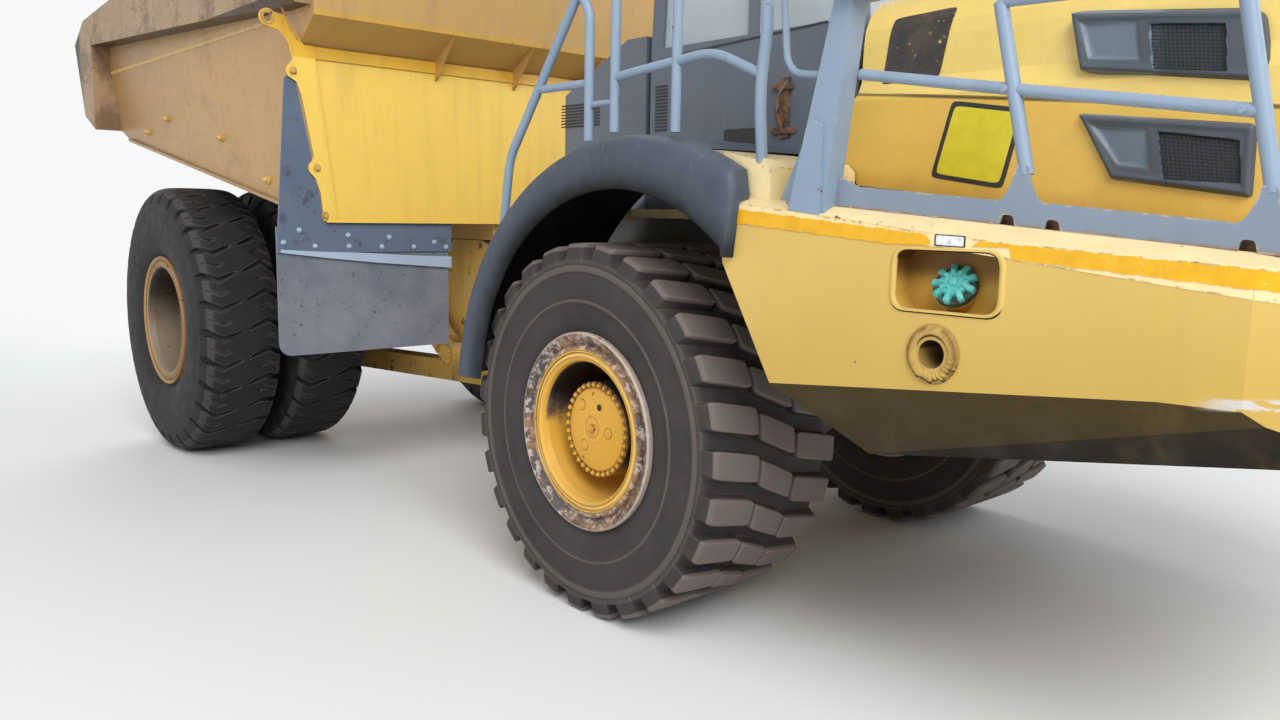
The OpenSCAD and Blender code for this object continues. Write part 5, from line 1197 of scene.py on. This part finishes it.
def pillow(middle, across, along, up, crown, channels):
    """A cushion: (s, t) on a square each raised to a fourth power for rounded sides, whose top rises to a
    crown at the middle and dips by a narrow valley at each channel. The lower half is the same form with no
    crown."""
    n = 57
    s, t = np.meshgrid(np.linspace(-1, 1, n), np.linspace(-1, 1, n), indexing="ij")
    inside = np.clip(1 - np.abs(s) ** 6, 0, 1) ** 0.35 * np.clip(1 - np.abs(t) ** 6, 0, 1) ** 0.35
    pull = 1 - 0.035 * np.cos(s * np.pi / 2) * np.abs(t) ** 8
    pinch = 1 - 0.035 * np.cos(t * np.pi / 2) * np.abs(s) ** 8
    valley = sum(np.exp(-(((t - c) / 0.045) ** 2)) for c in channels)
    piping = np.exp(-(((np.maximum(np.abs(s), np.abs(t)) - 0.86) / 0.03) ** 2))
    crowned = inside * crown * np.cos(s * np.pi / 2) * np.cos(t * np.pi / 2)
    top = inside * (1 - crown) + crowned - 0.16 * valley * inside
    top -= 0.07 * piping * inside
    x, y, z = (np.asarray(v, float) for v in (across, along, up))
    flat = np.asarray(middle, float) + (s * pinch)[..., None] * x + (t * pull)[..., None] * y
    upper, lower = flat + top[..., None] * z, flat - (0.9 * inside)[..., None] * z
    return [(upper, False, False), (lower[::-1], False, False)]


lean = np.array([-0.065, 0.0, 0.62])
lean /= np.linalg.norm(lean)
front_of = np.array([lean[2], 0.0, -lean[0]])
seat_parts = [("seat_cushion",
               pillow((0.07, 0.0, 2.722), (0, 0.245, 0), (0.245, 0, 0), (0, 0, 0.066), 0.35,
                      (-0.35, 0.1, 0.55)), 0.7),
              ("seat_back", pillow((-0.153, 0.0, 3.065), (0, 0.235, 0), lean * 0.305, front_of * 0.058, 0.35,
                                   (-0.55, -0.15, 0.25, 0.62)), 0.7)]
for name, sheets, fill in seat_parts:
    piece = put_on(name, sheets, cloth, "front", 50)
    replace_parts(piece, "seat")
foot_print = rounded_corners([(-0.115, -0.195), (0.215, -0.195), (0.215, 0.195), (-0.115, 0.195)], 0.04)
base = boss(np.insert(foot_print, 2, 2.331, 1), (0, 0, 1),
            [(0, 0), (1, 0), (1, 0.03), (0.82, 0.06), (0.78, 0.25), (0.95, 0.29), (0.97, 0.325), (0, 0.325)])
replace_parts(put_on("seat_base", [base], trim, "front", 35), "seat")

# The hood: a moulded cream upper part over a yellower bulge, with a blank yellow sign, a dark worn patch and
# two deep vents: each a black-slate frame with a scoop at its rear half and wire mesh at its front half.


def hood_shades(tree, own, colour):
    """Cream above the seam, yellower below, with a dark line in the seam and brown grime at the foot."""
    x, _, z = truck_place(tree, own)
    above = over_line(tree, x, z, (1.12, 2.55), (3.33, 2.33))
    mix = cloud(tree, own, 5.0, 7.0, 0.7)
    colour = blend(tree, between(tree, above, -0.006, 0.006), (0.74, 0.47, 0.075), colour)
    line = between(tree, maths(tree, "ABSOLUTE", above), 0.008, 0.004)
    colour = blend(tree, times(tree, line, 0.8), colour, (0.10, 0.055, 0.012))
    foot = over_line(tree, x, z, (1.15, 2.16), (3.25, 1.945))
    return blend(tree, between(tree, times_plus(tree, mix, 0.12, foot), 0.16, 0.02, 0.0, 0.6), colour,
                 (0.30, 0.17, 0.05))


hood_paint = paint("cream hood paint", (0.83, 0.60, 0.15), dusty=0.12, streaky=0.10, chipped=0.05, worn=0.15,
                   edge=(0.55, 0.36, 0.12), gloss=0.30, more=hood_shades)
dress(hood_paint, "hood_shell")
sign_paint, tree, shader, own = finish_of("faded sign yellow")
wear = cloud(tree, own, 12.0, 8.0, 0.7)
colour = blend(tree, between(tree, wear, 0.35, 0.65), (0.74, 0.64, 0.030), (0.66, 0.56, 0.018))
show(tree, shader, blend(tree, between(tree, wear, 0.68, 0.72), colour, (0.30, 0.20, 0.06)), wear, 0.3, 0.7,
     0.32, 0.5)
worn_patch, tree, shader, own = finish_of("worn dark patch")
wear = cloud(tree, own, 7.0, 9.0, 0.75)
bits = cloud(tree, own, 34.0, 6.0, 0.7)
colour = blend(tree, between(tree, wear, 0.40, 0.60), (0.010, 0.009, 0.009), (0.055, 0.040, 0.028))
show(tree, shader, blend(tree, between(tree, bits, 0.63, 0.67), colour, (0.62, 0.44, 0.14)), wear, 0.3, 0.7,
     0.35, 0.6)
bumped(tree, shader, bits, 0.4, 0.001)


def hood_side(z):
    """Half width of the hood at a height: upright to 2.52, drawn in to 1.055 at 2.60, then round the
    shoulder."""
    round_part = 0.84 + np.sqrt(np.clip(0.21**2 - (np.clip(z, 2.76, 2.97) - 2.76) ** 2, 0, 1))
    return np.where(z > 2.76, round_part, np.interp(z, [2.52, 2.60, 2.76], [1.090, 1.055, 1.050]))


def corner_grid(corners, s, t):
    """Points over four corners: s goes from the first to the second, t from that side to the one facing
    it."""
    a, b, c, d = (np.array(p, float) for p in corners)
    s, t = s[..., None], t[..., None]
    return (1 - t) * ((1 - s) * a + s * b) + t * ((1 - s) * d + s * c)


def on_hood(corners, lift, side, rows=32, columns=24):
    """A sheet over four corners (x, z): front-top, rear-top, rear-foot, front-foot, laid lift off the hood's
    side."""
    s, t = np.meshgrid(np.linspace(0, 1, columns), np.linspace(0, 1, rows))
    pull = 1 - 0.04 * np.abs(2 * s - 1) ** 12 * np.abs(2 * t - 1) ** 12
    flat = corner_grid(corners, 0.5 + (s - 0.5) * pull, 0.5 + (t - 0.5) * pull)
    return np.stack([flat[..., 0], side * (hood_side(flat[..., 1]) + lift), flat[..., 1]], -1)


def thin_sheet(corners, lift, thick, side):
    """A thin sheet with its edge closed: the outer grid, and the same grid drawn back by its thickness."""
    return shell(on_hood(corners, lift + thick, side), on_hood(corners, lift, side))


for side, hand in both_sides:
    sign = [(1.59, 2.49), (1.90, 2.44), (1.83, 2.14), (1.51, 2.19)]
    middle = np.mean(sign, 0)
    inner_sign = [tuple(middle + (np.array(p) - middle) * 0.88) for p in sign]
    put_on("sign_border_" + hand, thin_sheet(sign, 0.0008, 0.0010, side), black_film, "hood")
    put_on("blank_sign_" + hand, thin_sheet(inner_sign, 0.0012, 0.0014, side), sign_paint, "hood")
patch_corners = [(1.551, 2.868), (1.26, 2.855), (1.227, 2.584), (1.502, 2.593)]
put_on("worn_patch", thin_sheet(patch_corners, 0.0012, 0.0012, -1), worn_patch, "hood")


def depth_in(corners, x, z):
    """How far a point lies inside four corners: the least of its distances to the four edges, positive
    inside."""
    p = np.array(corners, float)
    q = np.roll(p, -1, 0)
    run = (q - p) / np.linalg.norm(q - p, axis=1)[:, None]
    turned = (x[..., None] - p[:, 0]) * run[:, 1] - (z[..., None] - p[:, 1]) * run[:, 0]
    way = np.sign(np.sum((p.mean(0) - p) * np.stack([run[:, 1], -run[:, 0]], -1), 1))
    return (turned * way).min(-1)


def eased(value):
    """A soft step from 0 to 1: three times the square less twice the cube."""
    t = np.clip(value, 0, 1)
    return t * t * (3 - 2 * t)


def vent(frame, scoop, mesh, side):
    """One height field over the frame's four corners: up over the rolled edge, down into the scoop, which
    deepens to the rear, and down to the floor of the mesh box. Its corners are pulled in, and its back is
    closed."""
    u, v = np.meshgrid(np.linspace(-1, 1, 105), np.linspace(-1, 1, 57), indexing="xy")
    pull = 1 - 0.075 * np.abs(u) ** 10 * np.abs(v) ** 10
    flat = corner_grid(frame, 0.5 - 0.5 * u * pull, 0.5 + 0.5 * v * pull)
    x, z = flat[..., 0], flat[..., 1]
    edge = depth_in(frame, x, z)
    rear = np.interp(x, [scoop[1][0], scoop[0][0]], [1.0, 0.25])
    out = 1.086 + 0.028 * eased(edge / 0.016)
    out -= 0.016 * eased(depth_in(scoop, x, z) / 0.022) * rear
    out -= 0.018 * eased(depth_in(mesh, x, z) / 0.005)
    out = np.minimum(out + 0.004 * np.exp(-((edge - 0.024) / 0.009) ** 2) - 0.004, 1.114)
    front = np.stack([x, side * out, z], -1)
    back = np.stack([x, side * np.full_like(x, 1.045), z], -1)
    return shell(front, back)


def wires(mesh, side):
    """Straight wires both ways across the mesh box, four-sided because there are hundreds."""
    a, b, c, d = (np.array(p, float) for p in mesh)
    made = []
    for (p, q, r, s), count in (((a, b, c, d), 13), ((a, d, c, b), 17)):
        t = np.linspace(0.04, 0.96, count)[:, None]
        start, end = (1 - t) * p + t * s, (1 - t) * q + t * r
        for m, n in zip(start, end):
            made.append(tube([(m[0], side * 1.1015, m[1]), (n[0], side * 1.1015, n[1])], 0.0016, 4))
    return made


def vent_shades(tree, own, colour):
    """The frame towards the nose is darker than the scoop."""
    x, y, _ = truck_place(tree, own)
    scoop = times(tree, between(tree, x, 2.40, 2.34),
                  between(tree, maths(tree, "ABSOLUTE", y), 1.1095, 1.1065))
    return blend(tree, scoop, colour, (0.125, 0.165, 0.215))


vent_paint = paint("vent moulding", (0.050, 0.064, 0.086), dusty=0.10, streaky=0.15, chipped=0.0, worn=0.4,
                   edge=(0.22, 0.24, 0.27), gloss=0.45, dust=(0.24, 0.24, 0.24), more=vent_shades)
wire_steel = grained("black mesh wire", (60.0, 6.0, 0.7), None, (0.006, 0.006, 0.007), (0.025, 0.024, 0.023),
                     (0.3, 0.7, 0.45, 0.7))
vents = [([(2.674, 2.702), (2.043, 2.775), (2.098, 2.550), (2.722, 2.462)],
          [(2.30, 2.712), (2.085, 2.735), (2.130, 2.590), (2.325, 2.562)],
          [(2.575, 2.664), (2.334, 2.694), (2.358, 2.536), (2.592, 2.508)]),
         ([(2.700, 2.345), (2.094, 2.416), (2.240, 2.165), (2.706, 2.098)],
          [(2.365, 2.345), (2.150, 2.372), (2.262, 2.215), (2.392, 2.192)],
          [(2.650, 2.290), (2.392, 2.331), (2.423, 2.165), (2.668, 2.150)])]
for side, hand in both_sides:
    sheets = sum((vent(*given, side) for given in vents), [])
    piece = put_on("vent_mouldings_" + hand, sheets, vent_paint, "hood", 50)
    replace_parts(piece, "hood_vents")
    put_on("vent_wires_" + hand, sum((wires(given[2], side) for given in vents), []), wire_steel, "hood")

# The bin: wear plate, bright yellow on its lit front wall and a darker tan along the sides, which is partly
# painted shade and partly rust and soot towards the tail, worn bare inside. Its front wall stands in a bolted
# corner flange; knobs, a seam and a strip under the rail dress its side.


def tail_soot(tree, mix, x, share, colour, black):
    """Soot that blackens the very end, with a ragged edge."""
    soot = between(tree, times_plus(tree, mix, 0.25, x), -7.06, -7.22)
    return blend(tree, times(tree, soot, share), colour, black)


def bin_shades(tree, own, colour):
    """Bright on the lit front wall, deeper on its top strip, painted shade in brown under the headboard and
    near black on lower faces that turn down, a darker tan along the sides that is partly painted shade,
    dirtier towards the tail, black with soot at the very end, and worn to brown steel inside."""
    x, y, z = truck_place(tree, own)
    normal = node(tree, "SeparateXYZ", {0: own["Normal"]}).outputs
    mix = cloud(tree, own, 2.2, 8.0, 0.68)
    drawn = cloud(tree, stretched(tree, own["Object"], (1, 1, 0.12)), 9.0)
    # Painted shade and dirt: the sides take a darker tan than the lit front wall, darker still towards the
    # tail.
    side = blend(tree, between(tree, times_plus(tree, mix, 1.2, x), -3.6, -6.8), (0.52, 0.300, 0.095),
                 (0.37, 0.205, 0.078))
    side = blend(tree, between(tree, mix, 0.52, 0.62, 0.0, 0.35), side, (0.30, 0.17, 0.075))
    # Painted light: faces turned forward take the front wall's bright yellow.
    facing = between(tree, normal["X"], 0.35, 0.6)
    front = blend(tree, between(tree, z, 2.972, 2.984), (0.93, 0.625, 0.115), (0.82, 0.47, 0.040))
    front = blend(tree, times(tree, between(tree, drawn, 0.50, 0.62),
                              between(tree, z, 3.05, 3.10, 0.10, 0.65)), front,
                  (0.52, 0.33, 0.145))
    front = blend(tree, between(tree, z, 3.20, 3.26, 0.0, 0.75), front, (0.62, 0.40, 0.19))
    colour = blend(tree, facing, side, front)
    # Painted shade: faces that turn down under the headboard go brown.
    below = times(tree, between(tree, normal["Z"], -0.2, -0.5), between(tree, z, 3.0, 3.05))
    colour = blend(tree, below, colour, (0.50, 0.29, 0.09))
    # Painted shade: faces that turn down lower on the bin go nearly black.
    under = times(tree, between(tree, normal["Z"], -0.5, -0.8), between(tree, z, 3.0, 2.95))
    colour = blend(tree, under, colour, (0.10, 0.065, 0.035))
    inward = times(tree, maths(tree, "SIGN", y), times(tree, normal["Y"], -1.0))
    inner = maths(tree, "MAXIMUM", between(tree, inward, 0.3, 0.6),
                  times(tree, between(tree, normal["Z"], 0.3, 0.6), between(tree, z, 3.60, 3.50)))
    inner = times(tree, inner, between(tree, x, -2.62, -2.70))
    bare = blend(tree, between(tree, mix, 0.38, 0.62), (0.17, 0.125, 0.095), (0.30, 0.25, 0.21))
    colour = blend(tree, inner, colour, bare)
    return tail_soot(tree, mix, x, 0.93, colour, (0.020, 0.017, 0.015))


def rail_shades(tree, own, colour):
    """Tan side, painted shade in dark brown underneath, black with soot at the tail."""
    x, _, _ = truck_place(tree, own)
    up = node(tree, "SeparateXYZ", {0: own["Normal"]}).outputs["Z"]
    mix = cloud(tree, own, 3.0, 8.0, 0.7)
    colour = blend(tree, between(tree, mix, 0.45, 0.62), colour, (0.20, 0.115, 0.055))
    # Painted shade: faces that turn down go dark brown.
    colour = blend(tree, between(tree, up, -0.1, -0.4), colour, (0.075, 0.036, 0.016))
    return tail_soot(tree, mix, x, 0.95, colour, (0.018, 0.015, 0.013))


bin_paint = paint("bin paint", (0.56, 0.36, 0.16), dusty=0.15, streaky=0.22, chipped=0.20, worn=0.35,
                  edge=(0.30, 0.17, 0.07), gloss=0.36, more=bin_shades)
rail_paint = paint("bin rail paint", (0.38, 0.235, 0.115), dusty=0.2, streaky=0.3, chipped=0.40, worn=0.5,
                   gloss=0.45, more=rail_shades)
dress(bin_paint, "bin_shell")
dress(rail_paint, "bin_rails")
bolt_yellow = paint("painted bolts", (0.66, 0.42, 0.10), dusty=0.1, streaky=0.0, chipped=0.45, worn=0.8,
                    edge=(0.28, 0.15, 0.06))
flange_x = -2.574
wall = lambda z: 1.84 + (z - 1.9) * 0.17 / 1.4
for side, hand in both_sides:
    ahead, out = (1.0, 0.0, 0.0), (0.0, side, 0.0)
    spots = [(flange_x, side * y, z) for y, z in ((2.038, 2.889), (1.896, 2.284), (1.850, 1.975))]
    sheets = bolts(spots, ahead, 0.026)
    # Ring round the lifting eye, and the second curved flange inside the ear
    turn = np.linspace(0, 2 * np.pi, 40, endpoint=False)
    ring = np.array([(0.027, flange_x), (0.027, flange_x + 0.008), (0.040, flange_x + 0.008),
                     (0.044, flange_x)])
    eye = np.stack([ring[:, None, 1] + 0 * turn, side * (2.19 + ring[:, None, 0] * np.cos(turn)),
                    3.20 + ring[:, None, 0] * np.sin(turn)], -1)
    sheets.append((eye, True, True))
    curve = np.array([(2.096, 3.290), (2.075, 3.232), (2.040, 3.165), (1.993, 3.093)])
    upper = np.stack([np.full(4, flange_x), side * curve[:, 0], curve[:, 1]], -1)
    sheets.append(strip(upper, upper + (0, side * 0.012, -0.010), ahead, 0.008))
    put_on("bin_flange_bolts_" + hand, sheets, bolt_yellow, "bin", 30)
    # Knobs welded to the side wall: a collar and a dome
    knobs = np.array([(-6.01, 2.68), (-5.43, 2.76), (-4.22, 2.55), (-3.43, 2.22)])
    at = np.stack([knobs[:, 0], side * (wall(knobs[:, 1]) - 0.004), knobs[:, 1]], -1)
    dome = boss(disc(at, out, 0.034, 20), out,
                [(0, 0), (1, 0), (1, 0.014), (0.72, 0.018), (0.70, 0.030), (0.56, 0.042), (0.30, 0.050),
                 (0, 0.052)])
    put_on("bin_side_knobs_" + hand, [dome], bolt_yellow, "bin", 30)
    x = np.linspace(-2.94, -7.10, 60)
    z = np.interp(x, [-7.38, -2.94], [3.275, 3.262])
    low = np.stack([x, side * (wall(z) - 0.001), z], -1)
    put_on("bin_side_strip_" + hand, [strip(low, low - (0, side * 0.0035, 0.028), out, 0.006)], bolt_yellow,
           "bin")

# Guards and flaps behind the front wheels: slate sheet with two rows of bolts and a pale strip that clamps
# the grey rubber sheet, which is cut round at its outer lower corner.


def guard_shades(tree, own, colour):
    """Dark scuffs in patches."""
    mix = cloud(tree, own, 8.0, 8.0, 0.72)
    return blend(tree, between(tree, mix, 0.56, 0.64, 0.0, 0.6), colour, (0.05, 0.05, 0.055))


guard_paint = paint("slate guard paint", (0.115, 0.155, 0.225), dusty=0.2, streaky=0.35, chipped=0.15,
                    worn=0.4, edge=(0.3, 0.31, 0.33), dust=(0.30, 0.30, 0.31), more=guard_shades)
pale_strip = paint("pale clamp strip", (0.42, 0.52, 0.66), dusty=0.1, streaky=0.35, chipped=0.2, worn=0.5,
                   edge=(0.6, 0.62, 0.66), dust=(0.40, 0.40, 0.40))


def rubber(name, dark, pale, dusty=0.4):
    """Plain rubber sheet: mottled, scuffed by stones and dusty."""
    made, tree, shader, own = finish_of(name)
    large = cloud(tree, own, 2.6, 6.0, 0.65)
    colour = blend(tree, between(tree, large, 0.30, 0.72), dark, pale)
    fine = cloud(tree, own, 24.0, 7.0, 0.72)
    colour = blend(tree, between(tree, fine, 0.60, 0.68), colour, tuple(c * 0.22 for c in dark))
    lying = use(tree, settled_dust, {"Amount": dusty, "Patches per metre": 9.0})["Mask"]
    colour = blend(tree, lying, colour, tuple(c * 1.3 for c in pale))
    show(tree, shader, colour, large, 0.3, 0.7, 0.62, 0.85)
    shader["Specular IOR Level"].default_value = 0.35
    bumped(tree, shader, maths(tree, "ADD", cloud(tree, own, 95.0, 4.0, 0.62), fine), 0.55, 0.0025)
    return made


dress(guard_paint, "mudguards")
flap_rubber = rubber("grey flap rubber", (0.155, 0.165, 0.205), (0.235, 0.240, 0.275), dusty=0.3)
dress(flap_rubber, "mud_flaps")
guard_x = -2.588
for side, hand in both_sides:
    ahead = (1.0, 0.0, 0.0)
    spots = [(guard_x, side * y, z) for y, z in (
        (2.022, 1.879), (1.682, 1.847), (1.377, 1.833), (1.022, 1.797), (2.130, 1.800), (1.916, 1.775),
        (1.677, 1.772), (1.433, 1.768), (1.185, 1.765), (0.925, 1.762))]
    put_on("guard_bolts_" + hand, bolts(spots, ahead, 0.017), pale_strip, "bin", 30)
    y = np.linspace(0.885, 2.150, 60)
    wave = 0.002 * np.sin(9 * y)
    top = np.stack([guard_x + 0 * y, side * y, np.interp(y, [0.885, 2.15], [1.690, 1.752]) + wave], -1)
    foot = np.stack([guard_x + 0 * y, side * y,
                     np.interp(y, [0.885, 1.449, 1.814, 2.15], [1.610, 1.655, 1.692, 1.732])], -1)
    put_on("clamp_strip_" + hand, [strip(top, foot, ahead, 0.009)], pale_strip, "bin", 30)
